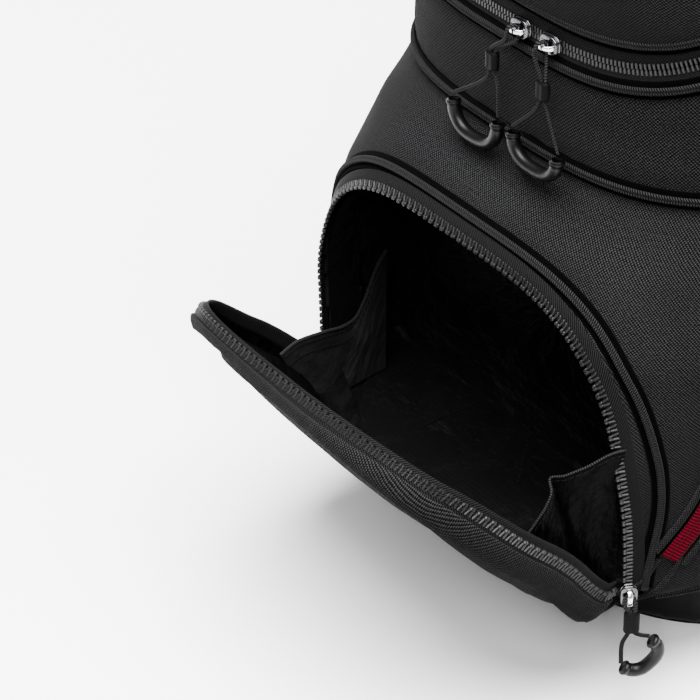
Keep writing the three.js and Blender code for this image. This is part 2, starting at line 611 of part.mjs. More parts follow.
// A cord pull: one cord goes from the grip's left end through the sleeve, round the bail
// and back to the right end. Points are in a vertical plane through the bail.
function placePull(tag, origin, turn, d) {
  const g = new THREE.Group();
  g.position.copy(origin);
  g.rotation.z = turn;
  group.add(g);
  const s = 1.3;
  const [sx, sz] = d.sleeve;
  const half = d.sleeveLength / 2;
  const fall = d.fall ?? 7;
  add(`${tag}_cord`, 'rubber', tube([
    v3(d.left[0], d.out, d.left[1] + 1.8), v3(sx - 4, d.out, sz - half - 7),
    v3(sx - s, d.out, sz - half), v3(sx - s, d.out, sz + half), ...d.wrap,
    v3(sx + s, d.out, sz + half), v3(sx + s, d.out, sz - half),
    v3(sx + 4, d.out, sz - half - fall), v3(d.right[0], d.out, d.right[1] + 1.8)],
  CORD_R, 34, 5), g);
  const outer = new THREE.BoxGeometry(8, 6, d.sleeveLength);
  const hole = new THREE.BoxGeometry(5.6, 3, d.sleeveLength + 4);
  add(`${tag}_sleeve`, 'rubber', cut(outer, hole).translate(sx, d.out, sz), g);
  const [lx, lz] = d.left;
  const [rx, rz] = d.right;
  const mid = v3((lx + rx) / 2, 0, (lz + rz) / 2);
  const axis = v3(rx - lx, 0, rz - lz).normalize();
  const down = v3(axis.z, 0, -axis.x);
  const u = Array.from({ length: 9 }, (_, i) => {
    const a = Math.PI * (i / 8);
    const w = Math.hypot(rx - lx, rz - lz) / 2;
    return mid.clone().addScaledVector(axis, -w * spow(Math.cos(a), 0.75))
      .addScaledVector(down, GRIP_R * 0.4 + d.sag * Math.sin(a) ** 0.85)
      .add(v3(0, d.out, 0));
  });
  add(`${tag}_grip`, 'rubber', tube(u, GRIP_R, 18, 7), g);
}

const OUT = 0.7;             // sliders stand this far off the teeth
// Ball pocket slider at the foot of the right leg.
const ballAt = { x: ARCH.half + 1, z: 73 };
const ballN = frontNormal(ballAt.x, 78);
const ballP = front(ballAt.x, 78).addScaledVector(ballN, OUT);
ballP.z = ballAt.z;
// The cord goes round the bail's bar: sideways on an upright zipper, over it on a level one.
const ROUND_UPRIGHT = [v3(-2.6, 0.2, -2), v3(-1.9, 2, 0.6), v3(0, 2.4, 1.2), v3(1.9, 2, 0.6),
  v3(2.6, 0.2, -2)];
const ROUND_LEVEL = [v3(-1.5, -2.3, -4), v3(-0.6, -2.5, -0.5), v3(-0.4, -1.9, 1.9),
  v3(0, 0, 2.7), v3(0.4, 1.9, 1.9), v3(0.6, 2.4, -0.5), v3(1.5, 2.1, -4)];
placeSlider('ball_slider', ballP, v3(0, 0, -1), ballN, [12, 8.4, 3.4]);
const ballBail = ballP.clone().addScaledVector(ballN.clone().setZ(0).normalize(), 7.2);
placePull('ball_pull', v3(ballBail.x, ballBail.y, ballAt.z), Math.atan2(ballN.x, -ballN.y), {
  wrap: ROUND_UPRIGHT,
  left: [-3, -38], right: [10, -22], sleeve: [1, -11], sleeveLength: 12, sag: 9, fall: 2, out: -1.5,
});
// Upper pocket: two sliders meet just left of the middle.
for (const [tag, x, dims] of [
  ['upper_pull_left', 12, { left: [-40, -52], right: [-7, -50], sleeve: [-12, -20], sag: 15 }],
  ['upper_pull_right', 32, { left: [-16, -50], right: [16, -50], sleeve: [4, -20], sag: 13 }],
]) {
  const z = DOOR.low;
  const p = front(x, z).add(v3(0, -OUT, 0));
  placeSlider(tag.replace('pull', 'slider'), p, v3(tag.endsWith('left') ? -1 : 1, 0, 0),
    v3(0, -1, 0));
  placePull(tag, v3(x, p.y - 7.2, z), 0, {
    ...dims, wrap: ROUND_LEVEL, sleeveLength: 9, out: -1.3,
  });
}
// Plain tab pulls for the side and garment zippers.
function tabPull(tag, t, z, lean, sign) {
  const e = 0.3;
  const here = around(t, z);
  const along = around(t + e * lean, z + e).sub(around(t - e * lean, z - e)).normalize();
  const n = around(t + e, z).sub(around(t - e, z)).cross(along).normalize();
  for (const p of [here, along, n]) p.x *= sign;
  const at = here.addScaledVector(n, 2.4 + 0.5);
  const tall = 3;
  placeSlider(`${tag}_slider`, at, along, n, [11, 9, tall]);
  const g = new THREE.Group();
  g.position.copy(at.clone().addScaledVector(n, tall + 1.45));
  const x = along.clone().cross(n).normalize();
  g.setRotationFromMatrix(new THREE.Matrix4().makeBasis(x, along, x.clone().cross(along)));
  group.add(g);
  const shape = new THREE.Shape();
  shape.moveTo(-3.6, 0.9);
  for (const [a, b] of [[3.6, 0.9], [4.4, -6], [4.4, -27], [2, -30], [-2, -30], [-4.4, -27],
    [-4.4, -6]]) shape.lineTo(a, b);
  shape.closePath();
  const plate = new THREE.ExtrudeGeometry(shape, { depth: 1.6, bevelEnabled: false })
    .translate(0, 0, -0.8);
  add(`${tag}_tab`, 'rubber', cut(plate, new THREE.BoxGeometry(4.8, 5.4, 5).translate(0, -3.7, 0)),
    g);
}
tabPull('side_right', 70.2, 186, 2 / 32, 1);
tabPull('side_left', 70.2, 186, 2 / 32, -1);
tabPull('garment', 78, 780, 0, 1);

export default group;
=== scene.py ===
import bpy, bmesh, itertools, math
import numpy as np
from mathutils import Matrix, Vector
from mathutils.bvhtree import BVHTree


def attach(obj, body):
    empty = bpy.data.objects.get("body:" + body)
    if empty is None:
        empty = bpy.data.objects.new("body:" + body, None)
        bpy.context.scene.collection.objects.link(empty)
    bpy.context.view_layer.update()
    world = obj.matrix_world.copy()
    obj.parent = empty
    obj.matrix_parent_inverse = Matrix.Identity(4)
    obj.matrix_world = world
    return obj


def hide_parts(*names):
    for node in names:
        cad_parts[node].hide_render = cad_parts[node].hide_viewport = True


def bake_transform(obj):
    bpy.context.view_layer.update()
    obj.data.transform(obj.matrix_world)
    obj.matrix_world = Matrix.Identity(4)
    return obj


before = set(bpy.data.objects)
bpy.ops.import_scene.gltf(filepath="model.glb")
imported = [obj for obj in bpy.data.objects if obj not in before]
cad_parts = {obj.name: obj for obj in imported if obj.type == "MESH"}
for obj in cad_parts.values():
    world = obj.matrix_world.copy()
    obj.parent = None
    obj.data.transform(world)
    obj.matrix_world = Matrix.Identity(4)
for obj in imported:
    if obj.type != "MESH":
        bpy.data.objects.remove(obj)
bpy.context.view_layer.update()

MM = 0.001
MIDDLE_Y = -20.0
UP = np.array([0, 0, 1.0])

# ------------------------------------------------------------------ camera
AZ, EL = math.radians(53.23), math.radians(34.42)
EYE = np.array([0.9871, -0.9833, 1.0218])
BACKWARD = Vector((math.sin(AZ) * math.cos(EL), -math.cos(AZ) * math.cos(EL), math.sin(EL)))
cam_data = bpy.data.cameras.new("camera")
cam = bpy.data.objects.new("camera", cam_data)
bpy.context.scene.collection.objects.link(cam)
cam.location = EYE
cam.rotation_euler = (-BACKWARD).to_track_quat("-Z", "Y").to_euler()
cam_data.lens = 161.8
cam_data.sensor_width = 36.0
cam_data.clip_end = 50
bpy.context.scene.camera = cam

# ------------------------------------------------------------------ bag surface, in millimetres
STATIONS = np.array([  # height, half width, front, middle
    (58, 138, -203, -20), (74, 147, -216, -20), (130, 148, -215, -20), (190, 148, -197, -20),
    (230, 139, -177, -18), (267, 130, -154, -15), (560, 130, -154, -15), (650, 128, -134, -8),
    (870, 127, -128, -4)], float)
BACK, FRONT_POWER, BACK_POWER = 125.0, 3.1, 2.4
HINGE_Y, HINGE_Z, OPEN = -183.0, 63.0, math.radians(42)
ARCH_HALF, ARCH_FOOT, ARCH_CROWN, ARCH_SIDE, ARCH_TOP = 121.0, 75.0, 218.0, 3.4, 2.9
ARCH_MID = 138.0
WALL = 11.0
SAG_DEEP, SAG_HEM, SAG_START = 33.0, 0.55, 0.968
DOOR_HALF, DOOR_LOW, DOOR_CORNER, DOOR_HIGH, DOOR_POWER = 118.0, 327.0, 37.0, 540.0, 4.0
WAIST_LOW, WAIST_TOP = 267.0, 346.0


def station(z, k):
    """Size number k of the body at height z, on a smooth curve through STATIONS."""
    h = STATIONS[:, 0]
    v = STATIONS[:, k]
    z = np.clip(z, h[0], h[-1])
    i = np.clip(np.searchsorted(h, z, side="right") - 1, 0, len(h) - 2)
    s = np.diff(v) / np.diff(h)
    tan = np.zeros(len(h))
    tan[0], tan[-1] = s[0], s[-1]
    a, b = s[:-1], s[1:]
    tan[1:-1] = np.where(a * b <= 0, 0, 2 * a * b / np.where(a + b == 0, 1, a + b))
    w = h[i + 1] - h[i]
    u = (z - h[i]) / w
    return ((2 * u**3 - 3 * u**2 + 1) * v[i] + (u**3 - 2 * u**2 + u) * w * tan[i]
            + (3 * u**2 - 2 * u**3) * v[i + 1] + (u**3 - u**2) * w * tan[i + 1])


def spow(v, p):
    """Power that keeps the sign."""
    return np.sign(v) * np.abs(v) ** p


def around(t, z, off=0.0):
    """Point on the bag at t degrees round from the front and height z, off its surface."""
    t, z = np.broadcast_arrays(np.asarray(t, float), np.asarray(z, float))
    half, front_y, mid = station(z, 1) + off, station(z, 2), station(z, 3)
    c, s = np.cos(np.radians(t)), np.sin(np.radians(t))
    p = np.where(c >= 0, 2 / FRONT_POWER, 2 / BACK_POWER)
    depth = np.where(c >= 0, mid - front_y + off, BACK - mid + off)
    return np.stack([half * np.sign(s) * np.abs(s) ** p,
                     mid - depth * np.sign(c) * np.abs(c) ** p, z + 0 * t], -1)


def front(x, z, off=0.0):
    """Point on the front of the bag at x and height z, off its surface."""
    x, z = np.broadcast_arrays(np.asarray(x, float), np.asarray(z, float))
    half, mid = station(z, 1) + off, station(z, 3)
    k = np.clip(1 - np.abs(x / half) ** FRONT_POWER, 0, 1) ** (1 / FRONT_POWER)
    return np.stack([x, mid - (mid - station(z, 2) + off) * k, z], -1)


def unit(v):
    return v / np.maximum(np.linalg.norm(v, axis=-1, keepdims=True), 1e-9)


def front_normal(x, z, e=0.4):
    return unit(np.cross(front(x + e, z) - front(x - e, z), front(x, z + e) - front(x, z - e)))


def turn(n):
    """Direction on the closed flap to its open rest place."""
    y, z = n[..., 1], n[..., 2]
    return np.stack([n[..., 0], y * math.cos(OPEN) - z * math.sin(OPEN),
                     y * math.sin(OPEN) + z * math.cos(OPEN)], -1)


def swing(p):
    """Point on the closed flap to its open rest place."""
    hinge = np.array([0, HINGE_Y, HINGE_Z])
    return turn(p - hinge) + hinge


def smooth(u):
    u = np.clip(u, 0, 1)
    return u * u * (3 - 2 * u)


def flap_sag(x, z):
    """How far the slack flap hangs in from the curve of the bag."""
    up = np.maximum(z - ARCH_FOOT, 0) / (ARCH_CROWN - ARCH_FOOT)
    edge = (np.abs(x / ARCH_HALF) ** ARCH_SIDE + up**ARCH_TOP) ** (1 / 3)
    low = SAG_HEM + (1 - SAG_HEM) * smooth((z - 60) / 30)
    return SAG_DEEP * low * (1 - np.minimum(1, edge / SAG_START) ** 2.2) ** 0.6


def wall_off(x, z, off, inset=0.0):
    """The soft wall of the flap stands up least at the left of the crown and most at its right,
    and its right end hangs out a little before the slider."""
    high = smooth((z - 120) / 70)
    right = smooth((x - 60) / 30)
    deep = 0.66 + high * (0.16 * np.exp(-((x - 82) / 48) ** 2) - 0.24 * np.exp(
        -((x + 55) / 65) ** 2))
    deep = deep + right * (0.4 * (1 - smooth((z - 60) / 13)) - 0.09 * (1 - high))
    deep = deep + (1 - deep) * smooth((inset - 10) / 14)
    bow = 1.6 * np.exp(-((z - 80) / 22) ** 2) * right
    return np.where(off > 0, off * deep, off) + bow


def flap_point(x, z, off, inset=0.0):
    """Point of the closed flap. inset is how far it lies in from the flap's edge."""
    x, z = np.broadcast_arrays(np.asarray(x, float), np.asarray(z, float))
    return front(x, z, wall_off(x, z, off, inset) - flap_sag(x, z))


def arch_line(grow=0.0, n=200):
    """Edge of the ball pocket, from its right foot over the crown."""
    w = np.radians(np.linspace(90, -90, n))
    x = (ARCH_HALF + grow) * spow(np.sin(w), 2 / ARCH_SIDE)
    z = ARCH_FOOT + (ARCH_CROWN + grow - ARCH_FOOT) * np.abs(np.cos(w)) ** (2 / ARCH_TOP)
    return x, z


def door_line(grow=0.0, n=160, high=DOOR_HIGH, wide=0.0):
    """Edge of the upper pocket. wide lets out its legs, where the bag curves away."""
    w = np.radians(np.linspace(-90, 90, n))
    x = (DOOR_HALF + grow + wide) * spow(np.sin(w), 2 / DOOR_POWER)
    z = DOOR_LOW + DOOR_CORNER - (DOOR_CORNER + grow) * np.cos(w)
    up = np.linspace(z[0], high, 30)[1:]
    return (np.concatenate([np.full(29, x[0]), x, np.full(29, x[-1])]),
            np.concatenate([up[::-1], z, up]))


def arc(p):
    """Length run at each point of a line."""
    return np.concatenate([[0], np.cumsum(np.linalg.norm(np.diff(p, axis=0), axis=1))])


def root_arc(p):
    """Knots of a centripetal curve through points."""
    return np.concatenate([[0], np.cumsum(np.linalg.norm(np.diff(p, axis=0), axis=1) ** 0.5)])


def sample(s, d, p):
    """Values of p, known at lengths d, at lengths s."""
    return np.stack([np.interp(s, d, p[:, k]) for k in range(p.shape[1])], -1)


def resample(p, step=None, n=None):
    """Evenly spaced points along a line, by their distance or their number."""
    p = np.asarray(p, float)
    d = arc(p)
    n = n or max(2, int(round(d[-1] / step)) + 1)
    return sample(np.linspace(0, d[-1], n), d, p)


def circle(n):
    """Angles of n points round a full turn."""
    return np.linspace(0, 2 * math.pi, n, endpoint=False)


def grid(rows):
    """Rows of points, turned so that the first index runs along a row."""
    return np.array(rows).transpose(1, 0, 2)


def uv_grid(a, b):
    return np.stack(np.broadcast_arrays(np.asarray(a)[:, None], np.asarray(b)[None, :]), -1)


def level_out(p):
    """Unit directions out from the upright middle of the bag."""
    out = p - np.array([0, MIDDLE_Y, 0])
    out[..., 2] = 0
    return unit(out)


def ripple(p, scale, seed=0):
    """Smooth wandering value between about -1 and 1."""
    r = np.random.default_rng(seed)
    out = np.zeros(p.shape[:-1])
    for k in range(7):
        d = unit(r.normal(size=3)) * (0.6 + 0.9 * r.random()) * 2 * math.pi / scale
        out = out + np.sin(p @ d + r.random() * 6.28) * (0.9 - 0.08 * k)
    return out / 2.6


# ------------------------------------------------------------------ mesh builders
def make(name, verts, faces, mat, body, slot, uv=None, round_off=True, replaces=()):
    """Piece from points and UVs in millimetres, each given as a list or as a grid."""
    me = bpy.data.meshes.new(name)
    faces = faces.tolist() if isinstance(faces, np.ndarray) else faces
    me.from_pydata((np.asarray(verts, float).reshape(-1, 3) * MM).tolist(), [], faces)
    if uv is not None:
        layer = me.uv_layers.new(name="mm")
        idx = np.empty(len(me.loops), np.int32)
        me.loops.foreach_get("vertex_index", idx)
        uv = np.asarray(uv, float).reshape(-1, 2)[idx]
        layer.data.foreach_set("uv", uv.astype(np.float32).ravel())
    me.polygons.foreach_set("use_smooth", [round_off] * len(me.polygons))
    me.materials.append(mat)
    me.update()
    ob = bpy.data.objects.new(name, me)
    bpy.context.scene.collection.objects.link(ob)
    if body:
        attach(ob, body)
    if replaces:
        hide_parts(*replaces)
    return ob


def thicken(ob, mm, side):
    md = ob.modifiers.new("thick", "SOLIDIFY")
    md.thickness, md.offset = mm * MM, side


def finer(ob):
    """One step of subdivision."""
    md = ob.modifiers.new("sub", "SUBSURF")
    md.levels = md.render_levels = 1


def quads(nu, nv, close_u=False, close_v=False):
    """Faces of a grid of nu columns with nv points each."""
    iu = np.arange(nu if close_u else nu - 1)
    iv = np.arange(nv if close_v else nv - 1)
    a, b = np.meshgrid(iu, iv, indexing="ij")
    a2, b2 = (a + 1) % nu, (b + 1) % nv
    return np.stack([a * nv + b, a2 * nv + b, a2 * nv + b2, a * nv + b2], -1).reshape(-1, 4)


def fanned(g):
    """Closed ring of columns with its inner end drawn together in one point."""
    nu, nv = g.shape[:2]
    flat = g.reshape(-1, 3)
    faces = quads(nu, nv, True).tolist()
    faces += [[i * nv + nv - 1, ((i + 1) % nu) * nv + nv - 1, nu * nv] for i in range(nu)]
    return np.vstack([flat, g[:, -1].mean(0)]), faces


def frames(p, nrm, closed=False):
    """Directions along, out and across at each point of a line."""
    if closed:
        t = unit(np.roll(p, -1, 0) - np.roll(p, 1, 0))
    else:
        t = unit(np.gradient(p, axis=0))
    n = unit(nrm - (nrm * t).sum(-1, keepdims=True) * t)
    return t, n, np.cross(t, n)


def tube_faces(n, m, closed=False):
    """Faces of n rows of m points, with a cap on each end unless it is closed."""
    faces = quads(n, m, closed, True).tolist()
    if not closed:
        faces += [list(range(m))[::-1], [(n - 1) * m + i for i in range(m)]]
    return faces


def sweep(name, p, nrm, section, mat, body, slot, closed=False, scale=None, **kw):
    """Carries a closed section of (across, out) points along a path."""
    _, n, b = frames(p, nrm, closed)
    sec = np.asarray(section, float)
    k = np.ones(len(p)) if scale is None else scale
    v = (p[:, None] + (sec[None, :, :1] * b[:, None] + sec[None, :, 1:] * n[:, None])
         * k[:, None, None])
    return make(name, v, tube_faces(len(p), len(sec), closed), mat, body, slot,
                uv_grid(arc(p), arc(sec)), **kw)


def disc(r, n):
    a = circle(n)
    return np.stack([r * np.cos(a), r * np.sin(a)], -1)


def slab(w0, w1, low, high, r=0.3):
    """Thin strip section with softened edges."""
    return [(w0, low + r), (w0 + r, low), (w1 - r, low), (w1, low + r), (w1, high - r),
            (w1 - r, high), ((w0 + w1) / 2, high + 0.05), (w0 + r, high), (w0, high - r)]


def scatter(name, tpl_v, tpl_f, p, t, n, b, mat, body, slot, **kw):
    """Copies a small piece to every point; its axes are along, across and out."""
    tpl = np.asarray(tpl_v, float)
    v = (p[:, None] + tpl[None, :, 0:1] * t[:, None] + tpl[None, :, 1:2] * b[:, None]
         + tpl[None, :, 2:3] * n[:, None])
    m = len(tpl)
    faces = [[i * m + j for j in f] for i in range(len(p)) for f in tpl_f]
    return make(name, v, faces, mat, body, slot, **kw)


def box_piece(lo, hi, r):
    """Block with bevelled edges: 24 points."""
    bm = bmesh.new()
    for far in itertools.product((0, 1), repeat=3):
        c = np.where(far, hi, lo).astype(float)
        for k in range(3):
            q = c + (1 - 2 * np.array(far)) * r
            q[k] = c[k]
            bm.verts.new(q)
    bmesh.ops.convex_hull(bm, input=bm.verts)
    bmesh.ops.dissolve_limit(bm, angle_limit=0.02, verts=bm.verts, edges=bm.edges)
    bm.verts.index_update()
    out_v = [tuple(q.co) for q in bm.verts]
    out_f = [[q.index for q in f.verts] for f in bm.faces]
    bm.free()
    return out_v, out_f


# ------------------------------------------------------------------ materials
class Build:
    def __init__(self, name):
        self.mat = bpy.data.materials.new(name)
        self.mat.use_nodes = True
        self.t = self.mat.node_tree
        self.bsdf = self.t.nodes["Principled BSDF"]

    def put(self, socket, v):
        if isinstance(v, bpy.types.NodeSocket):
            self.t.links.new(v, socket)
        else:
            socket.default_value = v

    def m(self, op, a, b=None, c=None, clamp=False):
        n = self.t.nodes.new("ShaderNodeMath")
        n.operation = op
        n.use_clamp = clamp
        for i, v in enumerate((a, b, c)):
            if v is not None:
                self.put(n.inputs[i], v)
        return n.outputs[0]

    def mad(self, a, b, c, clamp=False):
        return self.m("MULTIPLY_ADD", a, b, c, clamp)

    def wave(self, v, k):
        return self.m("SINE", self.m("MULTIPLY", v, k))

    def uv(self, space="UV"):
        """Two cloth directions in millimetres: the UV map, or the height and the girth."""
        tc = self.t.nodes.new("ShaderNodeTexCoord")
        s = self.t.nodes.new("ShaderNodeSeparateXYZ")
        if space == "UV":
            self.t.links.new(tc.outputs["UV"], s.inputs[0])
            return s.outputs[0], s.outputs[1], tc.outputs["UV"]
        big = self.t.nodes.new("ShaderNodeVectorMath")
        big.operation = "SCALE"
        big.inputs["Scale"].default_value = 1000.0
        self.t.links.new(tc.outputs["Object"], big.inputs[0])
        self.t.links.new(big.outputs[0], s.inputs[0])
        return s.outputs[1], s.outputs[2], big.outputs[0]

    def obj(self):
        return self.t.nodes.new("ShaderNodeTexCoord").outputs["Object"]

    def noise(self, vec, scale, detail=2.0, rough=0.5):
        n = self.t.nodes.new("ShaderNodeTexNoise")
        self.put(n.inputs["Vector"], vec)
        n.inputs["Scale"].default_value = scale
        n.inputs["Detail"].default_value = detail
        n.inputs["Roughness"].default_value = rough
        return n.outputs["Fac"]

    def ramp(self, fac, stops):
        n = self.t.nodes.new("ShaderNodeValToRGB")
        self.put(n.inputs[0], fac)
        cr = n.color_ramp
        cr.elements[0].position, cr.elements[0].color = stops[0][0], (*stops[0][1], 1)
        cr.elements[1].position, cr.elements[1].color = stops[-1][0], (*stops[-1][1], 1)
        for pos, col in stops[1:-1]:
            e = cr.elements.new(pos)
            e.color = (*col, 1)
        return n.outputs[0]

    def bump(self, height, strength, distance, under=None):
        n = self.t.nodes.new("ShaderNodeBump")
        n.inputs["Strength"].default_value = strength
        n.inputs["Distance"].default_value = distance
        self.put(n.inputs["Height"], height)
        if under is not None:
            self.put(n.inputs["Normal"], under)
        return n.outputs[0]

    def done(self, color, rough, normal=None, **consts):
        self.put(self.bsdf.inputs["Base Color"], color)
        self.put(self.bsdf.inputs["Roughness"], rough)
        if normal is not None:
            self.put(self.bsdf.inputs["Normal"], normal)
        for k, v in consts.items():
            self.bsdf.inputs[k.replace("_", " ")].default_value = v
        return self.mat


def grey(v, tint=1.04):
    return (v, v, v * tint)


def cloth(name, dark, light, pitch, kind="dot", rough=0.85, depth=0.5, patch=0.25, sheen=0.01,
          tint=None, spec=0.02, slub=0.9, gain=1.9, space="UV", crinkle=0.0):
    """Woven cloth. UV is in millimetres, so the weave keeps its real size."""
    q = Build(name)
    u, v, uvw = q.uv(space)
    u = q.mad(q.noise(uvw, 0.07), 1.6, u)
    v = q.mad(q.noise(uvw, 0.05), 1.6, v)
    w = 2 * math.pi / pitch
    if kind == "dot":          # plain weave: over and under like a fine chequer
        h = q.mad(q.m("MULTIPLY", q.wave(u, w), q.wave(v, w)), 0.5, 0.5)
        h = q.mad(q.wave(q.m("ADD", u, v), w), 0.08, h)
        h = q.mad(q.wave(v, 2 * w), 0.14, h)
    elif kind == "herring":    # ribs that lean both ways from the middle of a tape
        lean = q.m("ABSOLUTE", q.m("SUBTRACT", v, 3.2))
        h = q.mad(q.wave(q.m("ADD", u, q.m("MULTIPLY", lean, 1.1)), w), 0.42, 0.5)
    elif kind == "rib":        # ribs across the strip
        h = q.mad(q.wave(v, w * 0.8), 0.15, q.mad(q.wave(u, w), 0.5, 0.5))
    elif kind == "wrap":       # cloth wound over a cord, on the bias
        h = q.mad(q.wave(q.m("ADD", u, q.m("MULTIPLY", v, 0.45)), w), 0.5, 0.5)
    else:                      # smooth lining
        h = q.mad(q.wave(v, w), 0.1, 0.5)
    fibre = q.noise(uvw, 1.3 / pitch, 3.0, 0.7)
    h2 = q.mad(q.m("SUBTRACT", fibre, 0.5), slub, h)
    big = q.noise(uvw, 0.022, 4.0, 0.55)
    crisp = q.mad(q.m("SUBTRACT", h2, 0.5), gain, 0.5)
    shade = q.mad(q.m("SUBTRACT", big, 0.5), patch * 1.5, crisp, clamp=True)
    lo, hi = tint or (grey(dark), grey(light))
    mid = tuple(a * 0.8 + b * 0.2 for a, b in zip(lo, hi))
    col = q.ramp(shade, [(0.15, lo), (0.5, mid), (0.95, hi)])
    nrm = q.bump(h2, depth, 0.00022)
    if crinkle:
        nrm = q.bump(q.noise(uvw, 0.06, 3.0), crinkle, 0.006, nrm)
    return q.done(col, q.mad(big, 0.12, rough - 0.06), nrm, Sheen_Weight=sheen,
                  Sheen_Roughness=0.5, Specular_IOR_Level=spec)


def plastic(name, base, rough, grain=900.0, depth=0.1, spec=0.5):
    q = Build(name)
    at = q.obj()
    w = q.noise(at, 38.0, 5.0, 0.65)
    col = q.ramp(w, [(0.35, grey(base * 0.8)), (0.72, grey(base * 1.35))])
    return q.done(col, q.mad(w, 0.16, rough - 0.08), q.bump(q.noise(at, grain), depth, 0.0003),
                  Specular_IOR_Level=spec)


def metal(name, low=0.46, high=0.74):
    q = Build(name)
    at = q.obj()
    w = q.noise(at, 240.0, 4.0, 0.6)
    col = q.ramp(w, [(0.3, grey(low)), (0.7, grey(high))])
    return q.done(col, q.mad(w, 0.22, 0.1), q.bump(q.noise(at, 1500.0), 0.08, 0.0002),
                  Metallic=1.0)


M = {
    "shell": cloth("shell_cloth", 0.0003, 0.017, 1.5, "dot", 0.85, 0.9, 0.25),
    "band": cloth("waist_cloth", 0.0, 0.017, 1.8, "dot", 0.85, 1.2, 0.2, gain=2.8),
    "pipe": cloth("piping_cloth", 0.0003, 0.015, 1.25, "wrap", 0.75, 0.9, 0.2),
    "tape": cloth("zipper_tape", 0.0008, 0.0085, 1.5, "herring", 0.75, 0.6, 0.2, slub=0.5,
                  gain=1.1),
    "red": cloth("red_tape", 0, 0, 1.7, "rib", 0.8, 0.8, 0.25,
                 tint=((0.018, 0.0001, 0.001), (0.088, 0.0005, 0.008))),
    "bind": cloth("edge_binding", 0.002, 0.016, 1.2, "rib", 0.6, 0.5, 0.2, slub=0.4),
    "lining": cloth("lining_cloth", 0.0004, 0.0022, 0.9, "plain", 0.52, 0.3, 0.6, 0.01,
                    spec=0.035, gain=1.0, slub=0.3, crinkle=1.0),
    # Lighter copy of the lining for the left gusset: painted light on a part that the lamps leave
    # in shade.
    "lining_painted_light": cloth("gusset_cloth_painted_light", 0.003, 0.008, 0.9, "plain", 0.6, 0.3, 0.6, 0.01,
                        spec=0.03, gain=1.0, slub=0.3, crinkle=0.7),
    # Darker copy of the lining, without sheen and with little gloss, for the flap's lining and the
    # right gusset: painted shade, since the lamps light these parts more than the pocket's real
    # shade would.
    "lining_painted_shade": cloth("flap_lining_cloth_painted_shade", 0.0004, 0.0018, 0.9, "plain", 0.6, 0.3, 0.6, 0.0,
                         spec=0.012, gain=1.0, slub=0.3, crinkle=1.0),
    "webbing": cloth("webbing", 0.0006, 0.014, 2.1, "rib", 0.8, 1.0, 0.2),
    "pad": cloth("pad_cloth", 0.0004, 0.018, 1.7, "dot", 0.9, 0.9, 0.3),
    "pad3d": cloth("sewn_pad_cloth", 0.0004, 0.018, 1.7, "dot", 0.9, 0.9, 0.3, space="Object"),
    "thread": plastic("thread", 0.014, 0.6, 900, spec=0.2),
    "tooth": plastic("tooth_plastic", 0.0035, 0.38, 700, 0.05, 0.16),
    "moulded": plastic("moulded_plastic", 0.0014, 0.5, 1400, 0.3, 0.07),
    "rubber": plastic("rubber", 0.0018, 0.45, 500, 0.05, 0.07),
    "sleeve": plastic("cord_sleeve", 0.0012, 0.55, 500, 0.05, 0.03),
    "gloss": plastic("glossy_rubber", 0.001, 0.38, 300, 0.04, 0.11),
    "cord": cloth("cord_braid", 0.0006, 0.020, 1.3, "wrap", 0.6, 0.8, 0.2),
    # The darkest cloth; also laid under the pipings as painted seam shade.
    "channel": cloth("channel_and_seam_shade_cloth", 0.0002, 0.0014, 1.4, "dot", 0.85, 0.4, 0.2, spec=0.0),
    "metal": metal("nickel"),
    # Darker copy of the nickel for the slider plates: painted shade, so that they look dark apart
    # from their highlights.
    "shaded_metal": metal("nickel_painted_shade", 0.03, 0.08),
}

# ------------------------------------------------------------------ floor and light
floor_me = bpy.data.meshes.new("floor")
floor_me.from_pydata([(-6, -6, 0), (6, -6, 0), (6, 6, 0), (-6, 6, 0)], [], [(0, 1, 2, 3)])
floor = bpy.data.objects.new("floor", floor_me)
bpy.context.scene.collection.objects.link(floor)
floor_me.materials.append(Build("floor").done((0.97, 0.97, 0.97, 1), 0.9))
floor.visible_diffuse = False


def area(name, loc, target, size, power):
    """Round area light aimed at a target."""
    ld = bpy.data.lights.new(name, "AREA")
    ld.size, ld.energy, ld.shape = size, power, "DISK"
    ob = bpy.data.objects.new(name, ld)
    ob.location = loc
    ob.rotation_euler = (Vector(target) - Vector(loc)).to_track_quat("-Z", "Y").to_euler()
    bpy.context.scene.collection.objects.link(ob)


area("top", (0.25, -0.35, 2.5), (0, -0.1, 0.1), 2.6, 640)
area("key", (1.5, -1.5, 1.9), (0, -0.1, 0.25), 0.9, 60)
world = bpy.data.worlds.new("world")
bpy.context.scene.world = world
world.use_nodes = True
sky = world.node_tree.nodes["Background"]
sky.inputs["Color"].default_value = (1, 1, 1, 1)
sky.inputs["Strength"].default_value = 0.62

# ------------------------------------------------------------------ body cloth
GIRTH, CLOTH = 885.0, 1.2       # length of cloth round the bag, and its thickness
SEAM_PULL = 7.0                 # how far from a seam the cloth is drawn in
FRONT_ONLY = -40.0              # openings are cut only where y is less
BODY_COLUMNS = 330


def in_arch(x, z, grow):
    """Whether a point lies in the opening of the ball pocket, let out by grow."""
    a = np.abs(x) / (ARCH_HALF + grow)
    up = np.abs(z - ARCH_FOOT) / (ARCH_CROWN + grow - ARCH_FOOT)
    return np.where(z > ARCH_FOOT, a**ARCH_SIDE + up**ARCH_TOP < 1, a < 1)


def in_door(x, z, grow):
    """Whether a point lies in the opening of the upper pocket, let out by grow."""
    a = np.abs(x) / (DOOR_HALF + grow)
    low = DOOR_LOW + DOOR_CORNER - (DOOR_CORNER + grow) * np.sqrt(np.clip(1 - a**DOOR_POWER, 0, 1))
    return (a < 1) & (z > low) & (z < DOOR_HIGH + 0.5)


